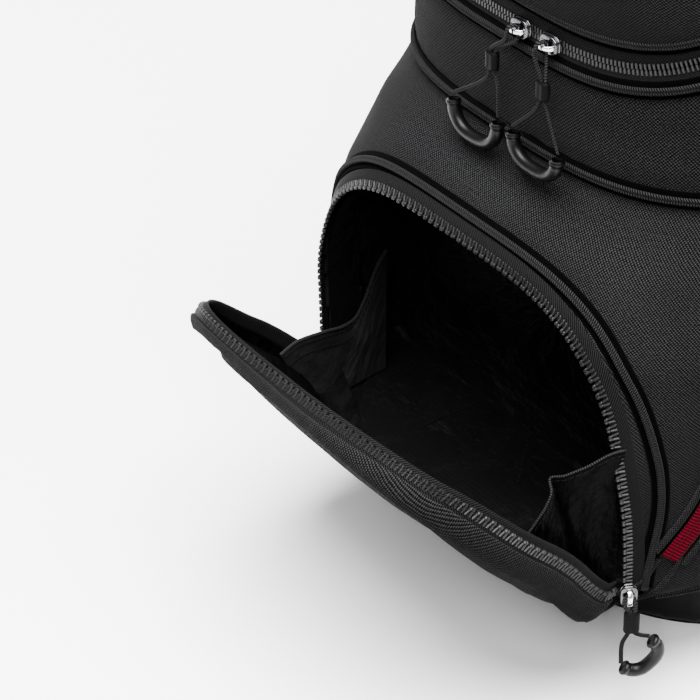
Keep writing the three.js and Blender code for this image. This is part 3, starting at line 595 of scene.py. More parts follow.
def body_cloth(name, zs, offs, mat, slot, replaces, hole, wrinkle, seed, seams):
    """Cloth round the bag, drawn in along its seams and swelling beside them."""
    t = np.linspace(-180, 180, 1441)
    g = grid([resample(around(t, z, off), n=BODY_COLUMNS + 1)[:-1] for z, off in zip(zs, offs)])
    far = np.full(g.shape[:2], 1e3)
    for line in seams:
        for q in line:
            far = np.minimum(far, np.linalg.norm(g - q, axis=-1))
    calm = np.exp(-(far / SEAM_PULL) ** 2)
    swell = np.exp(-((far - 13) / SEAM_PULL) ** 2)
    g = g + level_out(g) * ((ripple(g, 90, seed) + ripple(g, 28, seed + 5) * 0.25) * wrinkle
                            * (1 - calm) - calm * 0.9 + swell * 0.5)[..., None]
    nu, nv = g.shape[:2]
    q = quads(nu, nv, True)
    c = g.reshape(-1, 3)[q].mean(1)
    q = q[~(hole(c[:, 0], c[:, 2]) & (c[:, 1] < FRONT_ONLY))]
    ob = make(name, g, q, mat, "bag", slot, uv_grid(np.arange(nu) / nu * GIRTH, zs),
              replaces=replaces)
    thicken(ob, CLOTH, -1)


def twin(r, gap, n):
    """Section of a piping with two ribs and a groove between them."""
    left = np.linspace(math.radians(50), math.radians(310), n)
    right = np.linspace(math.radians(230), math.radians(490), n)
    return np.array([(side + r * math.cos(k), 0.35 + r * 1.15 * math.sin(k))
                     for side, turned in ((-gap, left), (gap, right)) for k in turned])


TWIN = twin(0.95, 0.95, 9)
# Section of the dark strip under a twin piping: painted seam shade.
SEAM = [(-4.8, -0.7), (-4.2, 0.0), (-2.6, -0.2), (0, -0.3), (2.6, -0.2), (4.2, 0.0), (4.8, -0.7)]


def twin_cord(name, pts, nrm, body, replaces=(), **kw):
    sweep(name, pts, nrm, TWIN, M["pipe"], body, "piping", replaces=replaces, **kw)


def seam_shade_strip(name, pts, nrm, body, **kw):
    """Seam allowance that a twin piping sits in, in the darkest cloth: painted shade for the
    crevice beside the piping.
    """
    sweep(f"{name}_seam", pts - nrm * 0.45, nrm, SEAM, M["channel"], body, "piping", **kw)


def piping(name, x, z, body, replaces=()):
    """Piping along a line on the front. Gives back the seam's points, for the cloth beside it."""
    p = resample(np.stack([x, z], -1), 2.0)
    pts = front(p[:, 0], p[:, 1], 0.9)
    nrm = front_normal(p[:, 0], p[:, 1])
    # Dark strip under the piping: painted seam shade.
    seam_shade_strip(name, pts, nrm, body)
    twin_cord(name, pts, nrm, body, replaces)
    return pts[::3]


ring = around(np.linspace(-180, 180, 400, endpoint=False), WAIST_LOW + 0.5, 1.0)
twin_cord("waist_cord", ring, level_out(ring), "bag", ["waist_piping"], closed=True)
# Dark strip under the waist piping: painted seam shade.
seam_shade_strip("waist_cord", ring, level_out(ring), "bag", closed=True)
# The piping stands off the zipper over the crown and comes nearer to it at the feet.
ax, az = arch_line(11.3)
bx, bz = arch_line(5.5)
rise = smooth((az - 65) / 85)
arch_seam = piping("arch_cord", bx + (ax - bx) * rise, bz + (az - bz) * rise, "bag",
                   ["ball_pocket_piping"])
door_seam = piping("upper_outer_cord", *door_line(10.3, high=DOOR_HIGH + 8), "bag",
                   ["upper_pocket_piping"])

low_z = np.concatenate([[57.6, 57.9, 59, 61, 64, 68], np.arange(72, WAIST_LOW + 0.1, 2.8)])
low_off = np.concatenate([[-16, -9, -4.2, -1.6, -0.4, 0], np.zeros(len(low_z) - 6)])
body_cloth("lower_cloth", low_z, low_off, M["shell"], "shell", ["lower_shell"],
           lambda x, z: in_arch(x, z, 3.0), 0.7, 1, seams=(arch_seam, ring[::6]))
body_cloth("waist_cloth", np.arange(WAIST_LOW, WAIST_TOP + 0.1, 2.8),
           np.zeros(29), M["band"], "band", ["waist_panel"],
           lambda x, z: in_door(x, z, 4.0), 0.3, 3, seams=(door_seam, ring[::6]))
up_z = np.arange(WAIST_TOP, 867.1, 6.2)
body_cloth("upper_cloth", up_z, np.zeros(len(up_z)), M["shell"], "shell", ["upper_shell"],
           lambda x, z: in_door(x, z, 4.0), 0.8, 4, seams=(door_seam,))


# ------------------------------------------------------------------ zipper parts
def lumps(parts):
    """Several small blocks joined into one piece."""
    v, f = [], []
    for lo, hi, r in parts:
        pv, pf = box_piece(lo, hi, r)
        f += [[i + len(v) for i in q] for q in pf]
        v += pv
    return v, f


# A tooth: two bent wires side by side, each with a rounded head and a foot on the tape.
tooth_v, tooth_f = lumps(
    [((x - 0.62, -1.5, -0.9), (x + 0.62, 3.6, 1.0), 0.42) for x in (-0.98, 0.98)]
    + [((x - 0.8, -1.7, -0.9), (x + 0.8, 0.4, 1.5), 0.55) for x in (-0.88, 0.88)])
TOOTH_PITCH, FINE_PITCH = 4.3, 2.15
BIG_TOOTH = [(x + (0.28 if x > 0 else 0.04) * (y - 1.0), y, z) for x, y, z in tooth_v], tooth_f
FINE_TOOTH = box_piece((-0.62, -0.9, -0.5), (0.62, 2.1, 1.0), 0.25)


def zipper_side(tag, x, z, side, body, replaces=(), phase=0.0, width=9.0, lift=0.5,
                pitch=TOOTH_PITCH, tooth=BIG_TOOTH):
    """One tape with its teeth. side is +1 where the tape lies outside the line."""
    line = resample(np.stack([x, z], -1), 2.0)
    pts, nrm = front(line[:, 0], line[:, 1], lift), front_normal(line[:, 0], line[:, 1])
    sweep(f"{tag}_tape", pts, nrm, [(side * w, h) for w, h in slab(0.6, width, -0.4, 0.35)],
          M["tape"], body, "zipper", replaces=replaces)
    d = arc(pts)
    s = np.arange(pitch * (0.5 + phase), d[-1], pitch)
    p, t, n, b = [sample(s, d, q) for q in (pts, *frames(pts, nrm))]
    scatter(f"{tag}_teeth", *tooth, p, t, n, b * side, M["tooth"], body, "zipper",
            round_off=False)


zipper_side("ball_shell_zip", *arch_line(0.6, 260), 1, "bag", ["ball_zipper_shell"])

# ------------------------------------------------------------------ flap of the ball pocket
HEM_LINE = np.array([(-118, 67), (-110, 62), (-95, 60.6), (-50, 60.4), (0, 60.4), (50, 60.4),
                     (95, 60.5), (112, 61), (118, 64.0), (120.4, 68)], float)
arch_pts = resample(np.stack(arch_line(0, 260), -1), n=220)
hem_pts = resample(np.vstack([arch_pts[-1], HEM_LINE, arch_pts[0]]), n=92)[1:-1]
OUTLINE = np.vstack([arch_pts, hem_pts])          # closed loop, the arch part first


def shrink(line, inset):
    """Line on the flap drawn in by inset towards ARCH_MID. Gives x and z."""
    kx = (ARCH_HALF - inset) / ARCH_HALF
    kz = (ARCH_CROWN - ARCH_MID - inset) / (ARCH_CROWN - ARCH_MID)
    return line[:, 0] * kx, ARCH_MID + (line[:, 1] - ARCH_MID) * kz


MIDDLE_INSETS = [80, 90, 100, 110]      # of the four rings that close the middle


def dish(name, rings, mat, slot, wrinkle, seed, replaces, pucker=0.0, creep=0.0, pleat=13.0,
         crease=0.0):
    """Closed cap over the flap outline from (inset, offset) rings to its middle."""
    rows = []
    for inset, off in rings:
        x, z = shrink(OUTLINE, inset)
        # On the right the cloth covers more of the tape.
        low = creep * smooth((x - 10) / 80) * np.clip((13 - off) / 4.6, 0, 1)
        rows.append(flap_point(x, z, off - low, inset))
    ins, offs = np.array(rings, float).T
    x0, z0 = shrink(OUTLINE, ins[-1])
    for k in (0.75, 0.5, 0.28, 0.1):
        rows.append(flap_point(x0 * k, ARCH_MID + (z0 - ARCH_MID) * k, offs[-1] + 0.25 * (1 - k),
                               MIDDLE_INSETS[0]))
    g = plan = grid(rows)
    s = np.arange(len(OUTLINE))[:, None] * 1.9
    near = np.exp(-(np.maximum(np.append(ins, MIDDLE_INSETS), 0)[None, :] / 11.0) ** 1.2)
    fold = np.sin(s * 2 * math.pi / pleat + 2.2 * np.sin(s / 31)) * np.sin(s / 9.3 + 1)
    g = g + front_normal(g[..., 0], np.clip(g[..., 2], 60, 400)) * (
        ripple(g, 75, seed) * wrinkle * (1 - near * 0.9)
        + ripple(g, 24, seed + 2) * wrinkle * 0.3 * (1 - near * 0.8)
        + fold * near * pucker)[..., None]
    if crease:
        # A crease runs back along the wall from the lower right corner.
        zz = OUTLINE[:, 1:]
        line = np.exp(-((np.append(offs, [99] * 4) - 12.2 - 0.03 * (zz - 70)) / 0.6) ** 2)
        along = smooth((zz - 64) / 8) * (1 - smooth((zz - 95) / 30)) * (OUTLINE[:, :1] > 60)
        g = g - (line * along * crease)[..., None] * np.array([1, 0, 0.3])
    v, faces = fanned(swing(g))
    # The steep edge is unrolled outwards, so the weave does not stretch there.
    run = np.hypot(np.diff(ins), np.diff(offs))[::-1].cumsum()[::-1]
    extra = np.concatenate([run - (ins[-1] - ins[:-1]), np.zeros(5)])
    away = unit(np.stack([OUTLINE[:, 0] / 1.3, OUTLINE[:, 1] - ARCH_MID], -1))
    uv = plan[..., [0, 2]] + away[:, None] * extra[None, :, None]
    make(name, v, faces, mat, "ball_flap", slot, np.vstack([uv.reshape(-1, 2), [[0, ARCH_MID]]]),
         replaces=replaces)


outer_rings = [(0.35, 8.4), (-0.3, 8.4), (-0.75, 8.8), (-0.95, 9.4), (-0.95, 10.1), (-0.85, 10.7),
               (-0.65, 11.3), (-0.35, 11.9), (0.1, 12.5), (0.8, 13.1), (1.8, 13.6), (3.2, 14.0),
               (5, 14.4), (8, 14.7), (12, 14.9), (17, 15.1), (23, 15.3), (30, 15.5), (38, 15.7),
               (46, 15.8), (54, 15.9), (62, 16.0), (70, 16.0)]
dish("flap_outer", outer_rings, M["shell"], "shell", 0.4, 11, ["ball_flap_panel"], 0.12,
     creep=4.0, crease=1.1)
lining_rings = [(2.3, -0.4), (2.9, 2), (3.4, 4.5), (4.2, 6.6), (6, 8.0), (9, 8.9), (14, 9.4),
                (20, 9.7), (28, 9.9), (36, 10), (45, 10), (54, 10), (62, 10), (70, 10)]
# The flap's lining takes the darker copy of the lining: painted shade.
dish("flap_lining", lining_rings, M["lining_painted_shade"], "lining", -1.4, 12, ["ball_flap_lining"],
     -0.9, pleat=9.0)

LEG = [(119.6, 66.5), (120.6, 70.5)]
RIM_LINE = resample(np.vstack([LEG, arch_pts, [(-x, z) for x, z in LEG[::-1]]]), n=236)


def flap_strip(name, inset0, inset1, off0, off1, steps, thick, replaces, wobble):
    """Strip of tape that follows the arch on the flap, its width lying across the wall."""
    rows = []
    for k in np.linspace(0, 1, steps):
        x, z = shrink(RIM_LINE, inset0 + (inset1 - inset0) * k)
        rows.append(front(x, z, wall_off(x, z, off0 + (off1 - off0) * k)))
    g = grid(rows)
    s = arc(g[:, 0])
    side = unit(np.stack([g[:, 0, 0], 0 * s, (g[:, 0, 2] - ARCH_MID) * 1.4], -1))
    wave = (np.sin(s / 5.1) * np.sin(s / 17.0 + 1))[:, None] * np.sin(
        np.linspace(0, math.pi, steps))[None, :] * wobble
    ob = make(name, swing(g + side[:, None] * wave[..., None]), quads(*g.shape[:2]), M["tape"],
              "ball_flap", "zipper", uv_grid(s, np.linspace(0, abs(off1 - off0), steps)),
              replaces=replaces)
    thicken(ob, thick, 0)


flap_strip("flap_tape", 0.3, 0.6, -0.8, 9.2, 7, 0.9, ["ball_flap_zipper"], 0.1)
flap_strip("flap_guard", 2.2, 1.6, -4.6, 0.2, 5, 1.3, (), 0.15)


def flap_teeth():
    x, z = shrink(resample(RIM_LINE, 1.0), 0.5)
    p = front(x, z, wall_off(x, z, -0.6))
    t = unit(np.gradient(p, axis=0))
    b = unit(front(x, z, wall_off(x, z, -0.6) + 2) - p)
    b = unit(b - (b * t).sum(-1, keepdims=True) * t)
    n = np.cross(t, b)
    n = n * np.sign((n * np.stack([x, 0 * x, z - ARCH_MID], -1)).sum(-1, keepdims=True))
    d = arc(p)
    s = np.arange(2.1, d[-1], TOOTH_PITCH)
    p, t, n, b = [sample(s, d, q) for q in (p, t, n, b)]
    scatter("flap_teeth", *BIG_TOOTH, swing(p), turn(t), turn(n), turn(b), M["tooth"],
            "ball_flap", "zipper", round_off=False)


flap_teeth()

# Blank oval badge with a raised rim.
BADGE_WIDE, BADGE_HIGH, BADGE_Z = 17, 11, 150
a = circle(64)
g = swing(grid([flap_point(BADGE_WIDE * k * np.cos(a), BADGE_Z + BADGE_HIGH * k * np.sin(a), off)
                for k, off in [(1.0, 15.4), (1.0, 16.6), (0.98, 17.3), (0.92, 17.7), (0.86, 17.5),
                               (0.82, 16.9), (0.78, 16.8), (0.5, 17.6), (0.25, 17.9),
                               (0.05, 18.0)]]))
nv = g.shape[1]
make("flap_badge", g, quads(64, nv, True).tolist() + [[i * nv + nv - 1 for i in range(64)]],
     M["moulded"], "ball_flap", "moulded", replaces=["ball_flap_badge"])

# Folded cloth at the foot of the pocket: shell hem, hinge fold, flap floor, flap hem.
FOLD_BACK, FOLD_Z = -188, 60.2
xs = np.linspace(-114, 114, 90)
rows = []
for y, z, moved in [(-170.0, 61.2, False), (-176, 60.2, False), (-181, 60.0, False),
                    (-184, 61.5, False), (-186, 61.2, True), (FOLD_BACK, FOLD_Z, True)]:
    gather = 0.8 * np.sin(xs / 6.3) * np.sin(xs / 15.1) * (1 if -187 < y < -178 else 0.3)
    p = np.stack([xs, np.full_like(xs, y), z + gather], -1)
    rows.append(swing(p) if moved else p)
hem_y = flap_point(xs, 61.0, WALL - 1.5)[:, 1]
for k in np.linspace(0.12, 1, 9):
    rows.append(swing(np.stack([xs, FOLD_BACK + (hem_y - FOLD_BACK) * k,
                                FOLD_Z - 1.2 * math.sin(math.pi * k) + 0 * xs], -1)))
g = grid(rows)
fold = make("flap_fold", g, quads(*g.shape[:2]), M["shell"], None, "shell",
            uv_grid(xs, arc(g[45])), replaces=["ball_flap_floor"])
thicken(fold, CLOTH, 1)
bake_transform(fold)


# ------------------------------------------------------------------ gussets
def spline(points, n):
    """Smooth curve through points."""
    p = np.asarray(points, float)
    d = root_arc(p)
    ext = np.vstack([2 * p[0] - p[1], p, 2 * p[-1] - p[-2]])
    s = np.linspace(0, d[-1], n)
    i = np.clip(np.searchsorted(d, s, side="right") - 1, 0, len(p) - 2)
    u = ((s - d[i]) / (d[i + 1] - d[i]))[:, None]
    a, b, c, e = ext[i], ext[i + 1], ext[i + 2], ext[i + 3]
    return 0.5 * (2 * b + (c - a) * u + (2 * a - 5 * b + 4 * c - e) * u**2
                  + (3 * b - a - 3 * c + e) * u**3)


def gusset(tag, top, foot, creases, seed, cloth_mat, edge_r=0.95, rows=(3.0, 9.0)):
    """Fan of lining between the flap wall and the pocket side, from its bound top edge down to
    the hinge corner. Creases push parts of it sideways."""
    n, m = 90, 44
    edge, low = spline(top, n), spline(foot, n)
    u = np.linspace(0, 1, n)[:, None]
    v = np.linspace(0, 1, m)[None, :]
    g = edge[:, None] * (1 - v)[..., None] + low[:, None] * v[..., None]
    push = np.zeros((n, m))
    for u0, width, amount in creases:
        push += amount * np.exp(-((u - u0) / width) ** 2) * (1 - v) ** 0.8
    push += (ripple(g, 34, seed) * 1.3 + ripple(g, 14, seed + 1) * 0.4) * np.sin(
        math.pi * np.clip(v * 1.2, 0, 1)) ** 0.5 * np.sin(math.pi * np.clip(u, 0, 1)) ** 0.4
    g[..., 0] += push
    edge = g[:, 0]
    s = arc(edge)
    h = np.hstack([np.zeros((n, 1)), np.linalg.norm(np.diff(g, axis=1), axis=2).cumsum(1)])
    ob = make(f"gusset_{tag}", g, quads(n, m), M[cloth_mat], None, "lining",
              np.stack([np.broadcast_to(s[:, None], h.shape), h], -1),
              replaces=[f"ball_gusset_{tag}"])
    thicken(ob, 0.7, 0)
    down = unit(g[:, 3] - g[:, 0])
    side = unit(np.cross(unit(np.gradient(edge, axis=0)), down))
    # Rolled binding along the edge and two rows of stitches below it.
    roll = sweep(f"gusset_{tag}_edge", edge + down * 0.2, side, disc(edge_r, 8), M["bind"], None,
                 "lining")
    parts = [ob, roll]
    for face, sgn in (("a", 1), ("b", -1)):
        for row, dist in enumerate(rows):
            line = resample([sample(dist, h[i], g[i]) for i in range(n)], 0.8)
            nn = side[np.linspace(0, n - 1, len(line)).round().astype(int)]
            parts.append(stitches(f"gusset_{tag}_stitch_{row}_{face}", line, unit(nn) * sgn, None,
                                  "lining", lift=0.45, mat=M["bind"]))
    for p in parts:
        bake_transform(p)


STITCH = box_piece((-1.35, -0.28, -0.22), (1.35, 0.28, 0.32), 0.14)


def stitches(name, line, nrm, body, slot, pitch=3.6, lift=0.3, mat=M["thread"]):
    """Row of separate thread stitches along a line."""
    d = arc(line)
    s = np.arange(pitch * 0.6, d[-1] - pitch * 0.3, pitch)
    p, t, n, b = [sample(s, d, q) for q in (line, *frames(line, nrm))]
    return scatter(name, *STITCH, p + n * lift, t, n, b, mat, body, slot)


# The right gusset takes the darker copy of the lining: painted shade.
gusset(
    "right", [(106, -222, 121), (109, -214, 134), (112, -206, 145), (115, -196, 152),
              (117, -184, 157), (118, -172, 156)],
    [(104, -197, 74), (106, -191, 70), (108, -186, 67), (110, -181, 66), (112, -177, 66),
     (114, -172, 66)],
    [(0.42, 0.05, -5.0), (0.46, 0.17, -5.0)], 21,
    "lining_painted_shade", 0.55, (2.4,))
# The left gusset takes the lighter copy of the lining: painted light.
gusset(
    "left", [(-110, -209, 99), (-111, -197, 103), (-112, -181, 102), (-114, -166, 98),
             (-115, -156, 99), (-114, -150, 110), (-113, -144, 126), (-112, -138, 136)],
    [(-104, -197, 72), (-104, -191, 69), (-104, -184, 66), (-104, -178, 65), (-104, -172, 64),
     (-105, -162, 64), (-106, -152, 64), (-107, -142, 64)],
    [(0.3, 0.2, 2.0)], 25, "lining_painted_light")

# ------------------------------------------------------------------ lining of the ball pocket
LINING_LOW, LINING_BACK, LINING_MID = 62.5, -114, 150
rows = []
for inset, off in [(1.4, -3.0), (1.0, -5.0), (-0.5, -8.0), (-2.5, -12.0)]:
    x, z = shrink(OUTLINE, inset)
    rows.append(front(x, np.maximum(z, 61.6), off))
x = OUTLINE[:, 0] / ARCH_HALF
up = np.clip((OUTLINE[:, 1] - 60) / (ARCH_CROWN - 60), 0, 1)
for y, wide, roof in [(-158, 121, 226), (-150, 125, 231), (-142, 128, 234), (-134, 130, 236),
                      (-126, 132, 237), (-119, 133, 237), (-115, 130, 235)]:
    p = np.stack([x * wide * (1 - 0.06 * up**2), np.full(len(x), float(y)),
                  LINING_LOW + up * (roof - LINING_LOW)], -1)
    p[:, 1] = np.maximum(p[:, 1], front(p[:, 0], p[:, 2], -6)[:, 1])
    rows.append(p)
wall = rows[-1]
for k in (0.93, 0.84, 0.72, 0.58, 0.44, 0.3, 0.16, 0.05):
    rows.append(np.stack([wall[:, 0] * k, np.full(len(x), float(LINING_BACK)),
                          LINING_MID + (wall[:, 2] - LINING_MID) * k], -1))
g = grid(rows)
nrm = unit(np.cross(np.roll(g, -1, 0) - np.roll(g, 1, 0), np.gradient(g, axis=1)))
deep = np.clip(np.arange(g.shape[1]) / 3.0, 0, 1)[None, :]
g = g + nrm * ((ripple(g, 60, 31) * 1.7 + ripple(g, 21, 33) * 0.7) * deep)[..., None]
faces = quads(*g.shape[:2], True)
liner = make("pocket_lining", g, faces, M["lining"], "bag", "lining",
             uv_grid(np.arange(len(OUTLINE)) * 1.95, arc(g[60])), replaces=["ball_pocket_liner"])
finer(liner)

# Sewn seams across the floor of the pocket, over its stiffening board.
tree = BVHTree.FromPolygons(g.reshape(-1, 3).tolist(), faces.tolist())
for i, (a, b) in enumerate([((-33, -99), (16, -152)), ((-54, -160), (-54, -118))]):
    seam_line = []
    for x, y in np.linspace(a, b, 40):
        hit = tree.ray_cast(Vector((x, y, 110)), Vector((0, 0, -1)))[0]
        seam_line.append((x, y, hit[2] + 0.2 if hit else 63.5))
    stitches(f"floor_seam_{i}", np.array(seam_line), np.tile(UP, (40, 1)), "bag",
             "lining", mat=M["bind"])

# ------------------------------------------------------------------ upper pocket
zipper_side("upper_shell_zip", *door_line(0.9), 1, "bag", ["upper_zipper_shell"], lift=-0.4,
            width=14.5, pitch=FINE_PITCH, tooth=FINE_TOOTH)
zipper_side("upper_door_zip", *door_line(-0.9), -1, "upper_door", lift=-0.4, width=12.8,
            phase=0.5, pitch=FINE_PITCH, tooth=FINE_TOOTH)
piping("door_cord", *door_line(-13.0, high=DOOR_HIGH - 3, wide=6.6), "upper_door")


def door_panel(top=DOOR_HIGH - 0.8, mid=440):
    """Padded face of the upper pocket: its edge line, drawn in ring by ring to the middle."""
    line = resample(np.stack(door_line(-11.5, high=top, wide=6.4), -1), n=200)
    cap = resample(np.array([line[-1], [60, top], [-60, top], line[0]]), n=92)[1:-1]
    loop = np.vstack([line, cap])
    profile = [(1.0, -0.6), (0.992, 0.6), (0.975, 1.6), (0.95, 2.5), (0.91, 3.4), (0.86, 4.2),
               (0.79, 5.0), (0.7, 5.7), (0.6, 6.2), (0.5, 6.5), (0.38, 6.7), (0.25, 6.8),
               (0.1, 6.9)]
    g = grid([front(loop[:, 0] * k, mid + (loop[:, 1] - mid) * k, off) for k, off in profile])
    soft = np.clip((1 - np.array(profile)[:, 0]) / 0.06, 0, 1)[None, :]
    g = g + front_normal(g[..., 0], g[..., 2]) * (
        (ripple(g, 110, 41) * 0.9 + ripple(g, 35, 42) * 0.25) * soft)[..., None]
    v, faces = fanned(g)
    make("door_panel", v, faces, M["shell"], "upper_door", "shell", v[:, [0, 2]],
         replaces=["upper_door_panel"])


door_panel()

# ------------------------------------------------------------------ pulls and sliders
def local_to_world(origin, angle):
    """Places points drawn about a pull's pivot, turned by angle about the upright."""
    c, s = math.cos(angle), math.sin(angle)

    def go(p):
        p = np.asarray(p, float)
        return np.stack([origin[0] + p[..., 0] * c - p[..., 1] * s,
                         origin[1] + p[..., 0] * s + p[..., 1] * c,
                         origin[2] + p[..., 2]], -1)
    return go


def bezier_free(points, n):
    """Centripetal curve through points, as the frame's cords have."""
    p = np.asarray(points, float)
    p = np.vstack([2 * p[0] - p[1], p, 2 * p[-1] - p[-2]])
    out = []
    per = max(2, n // (len(p) - 3))
    for i in range(1, len(p) - 2):
        q = p[i - 1:i + 3]
        t = root_arc(q)
        u = np.linspace(t[1], t[2], per, endpoint=False)[:, None]
        a = [(t[k + 1] - u) / (t[k + 1] - t[k]) * q[k] + (u - t[k]) / (t[k + 1] - t[k]) * q[k + 1]
             for k in range(3)]
        b = [(t[k + 2] - u) / (t[k + 2] - t[k]) * a[k] + (u - t[k]) / (t[k + 2] - t[k]) * a[k + 1]
             for k in range(2)]
        out.append((t[2] - u) / (t[2] - t[1]) * b[0] + (u - t[1]) / (t[2] - t[1]) * b[1])
    return np.vstack(out + [p[-2:-1]])


ROUND_UPRIGHT = [(-2.6, 0.2, -2), (-1.9, 2, 0.6), (0, 2.4, 1.2), (1.9, 2, 0.6), (2.6, 0.2, -2)]
ROUND_LEVEL = [(-1.5, -2.3, -4), (-0.6, -2.5, -0.5), (-0.4, -1.9, 1.9), (0, 0, 2.7),
               (0.4, 1.9, 1.9), (0.6, 2.4, -0.5), (1.5, 2.1, -4)]


def carried(line, start):
    """Normals carried along a line without twisting."""
    t = unit(np.gradient(line, axis=0))
    out, n = [], np.asarray(start, float)
    for k in t:
        n = unit(n - (n * k).sum() * k)
        out.append(n)
    return np.array(out)


FLAT_CORD = [(x * 0.55, y * 0.55) for x, y in twin(1.05, 0.95, 8)]


def pull(tag, go, left, right, sleeve, half, sag, wrap, out, fall=7):
    """Cord from the slider's bail through a rubber sleeve to the mouths of a U-shaped grip."""
    mid_x, mid_z = sleeve
    gap = 1.3
    route = [(left[0], out, left[1] + 1.8), (mid_x - 4, out, mid_z - half - 7),
             (mid_x - gap, out, mid_z - half), (mid_x - gap, out, mid_z + half), *wrap,
             (mid_x + gap, out, mid_z + half), (mid_x + gap, out, mid_z - half),
             (mid_x + 4, out, mid_z - half - fall), (right[0], out, right[1] + 1.8)]
    line = resample(go(bezier_free(route, 360)), n=150)
    outwards = go(np.array([0, -1.0, 0])) - go(np.zeros(3))
    cord = sweep(f"{tag}_cord_run", line, carried(line, outwards), FLAT_CORD, M["cord"], tag,
                 "cord", replaces=[f"{tag}_cord"])
    round(arc(line)[-1] * MM, 4)
    # Rubber sleeve with two lobes, one for each run of the cord.
    a = circle(40)
    r = 3.0 + 0.95 * np.cos(2 * a)
    g = grid([go(np.stack([mid_x + k * r * np.cos(a), out + k * r * np.sin(a) * 1.05,
                           np.full(40, mid_z + z)], -1))
              for z, k in [(-half, 0.35), (-half, 0.84), (0.25 - half, 0.93), (0.7 - half, 0.98),
                           (1.2 - half, 1), (half - 1.2, 1), (half - 0.7, 0.98),
                           (half - 0.25, 0.93), (half, 0.84), (half, 0.35)]])
    make(f"{tag}_sleeve_moulded", g, quads(*g.shape[:2], True), M["sleeve"], tag, "rubber",
         replaces=[f"{tag}_sleeve"])
    # U grip with a ring at each mouth.
    left, right = np.array(left), np.array(right)
    across = (right - left) / 2
    w = np.linalg.norm(across)
    across = across / w
    down = np.array([across[1], -across[0]])
    a = np.linspace(0, math.pi, 70)
    u = resample((left + right) / 2 + (-w * spow(np.cos(a), 0.75))[:, None] * across
                 + (1.2 + sag * np.sin(a) ** 0.85)[:, None] * down, n=60)
    pts = np.stack([u[:, 0], np.full(len(u), out), u[:, 1]], -1)
    d = np.linspace(0, 1, len(u))
    end = np.minimum(d, 1 - d) * arc(u)[-1]
    r = 1 + 0.16 * np.exp(-((end - 1.3) / 0.9) ** 2) - 0.25 * np.exp(-(end / 0.35) ** 2) \
        - 0.06 * np.exp(-((end - 3.0) / 0.6) ** 2)
    sweep(f"{tag}_grip_moulded", go(pts), np.tile(outwards, (len(u), 1)), disc(3.35, 20),
          M["gloss"], tag, "rubber", scale=r, replaces=[f"{tag}_grip"])


BALL_X, BALL_Z, BAIL = 122.0, 73.0, 7.2
ball_n = front_normal(np.array(BALL_X), np.array(78.0))
ball_p = front(BALL_X, 78.0) + ball_n * 0.7
ball_p[2] = BALL_Z
bail = ball_p + unit(ball_n * np.array([1, 1, 0])) * BAIL
pull("ball_pull", local_to_world(bail, math.atan2(ball_n[0], -ball_n[1])), (-3, -38), (10, -22),
     (1, -11), 6.0, 9, ROUND_UPRIGHT, -1.5, 2)
UPPER_SLIDERS = {   # place along the zipper, way it closes, then the pull's shape
    "left": (12, -1, ((-40, -52), (-7, -50), (-12, -20), 4.5, 15)),
    "right": (32, 1, ((-16, -50), (16, -50), (4, -20), 4.5, 13))}
for side, (x, way, shape) in UPPER_SLIDERS.items():
    y = front(x, DOOR_LOW)[1] - 0.7
    pull(f"upper_pull_{side}", local_to_world((x, y - BAIL, DOOR_LOW), 0), *shape, ROUND_LEVEL,
         -1.3)


def slider(tag, body, at, along, normal, replaces, length=12.0, width=9.5, tall=3.4):
    """Nickel slider: two plates joined by a nose, with a flat arched bail on top. The plates take
    a darker copy of the nickel, painted shade; the bail keeps the bright nickel.
    """
    x = unit(np.asarray(along, float))
    z = unit(np.asarray(normal, float) - (np.asarray(normal) * x).sum() * x)
    y = np.cross(z, x)
    at = np.asarray(at, float)

    def go(p):
        return at + p[..., 0:1] * x + p[..., 1:2] * y + p[..., 2:3] * z
    a = circle(56)
    c, s = np.cos(a), np.sin(a)
    plan = np.stack([length / 2 * spow(c, 0.62), width / 2 * spow(s, 0.55)
                     * (1.0 - 0.1 * c - 0.22 * np.maximum(0, -c) ** 2)], -1)
    profile = [(0.55, 0.0), (0.93, 0.0), (1.0, 0.35), (1.0, 0.95), (0.94, 1.25), (0.86, 1.35),
               (0.84, 1.75), (0.93, 2.0), (1.0, 2.3), (1.0, tall - 0.55), (0.95, tall - 0.15),
               (0.86, tall), (0.5, tall + 0.05), (0.1, tall + 0.1)]
    g = grid([go(np.hstack([plan * k, np.full((56, 1), h)])) for k, h in profile])
    m = len(profile)
    make(f"{tag}_body", g, quads(56, m, True).tolist()
         + [[i * m + m - 1 for i in range(56)], [i * m for i in range(56)]], M["shaded_metal"],
         body, "metal", replaces=replaces)
    arch = spline([(-4.3, 0, tall - 0.4), (-3.9, 0, tall + 1.8), (-2.0, 0, tall + 3.5),
                   (0.6, 0, tall + 3.9), (3.0, 0, tall + 2.9), (4.2, 0, tall + 1.0),
                   (4.5, 0, tall - 0.4)], 40)
    t = unit(np.gradient(arch, axis=0))
    n = np.stack([-t[:, 2], t[:, 0]], -1)
    n = n * np.sign(n[:, 1:] + 1e-6)
    sec = [(-1.5, -0.3), (-1.2, -0.55), (1.2, -0.55), (1.5, -0.3), (1.5, 0.2), (1.1, 0.5),
           (-1.1, 0.5), (-1.5, 0.2)]
    sweep(f"{tag}_bail", go(arch), n[:, :1] * x + n[:, 1:] * z, sec, M["metal"], body, "metal",
          scale=1 - 0.25 * np.sin(np.linspace(0, math.pi, 40)) ** 2)


slider("ball_slider_nickel", "ball_slider", ball_p, (0, 0, -1), ball_n, ["ball_slider"],
       width=8.4)
for side, (x, way, _) in UPPER_SLIDERS.items():
    tag = f"upper_slider_{side}"
    slider(f"{tag}_nickel", tag, front(x, DOOR_LOW) + np.array([0, -0.7, 0]), (way, 0, 0),
           (0, -1, 0), [tag])


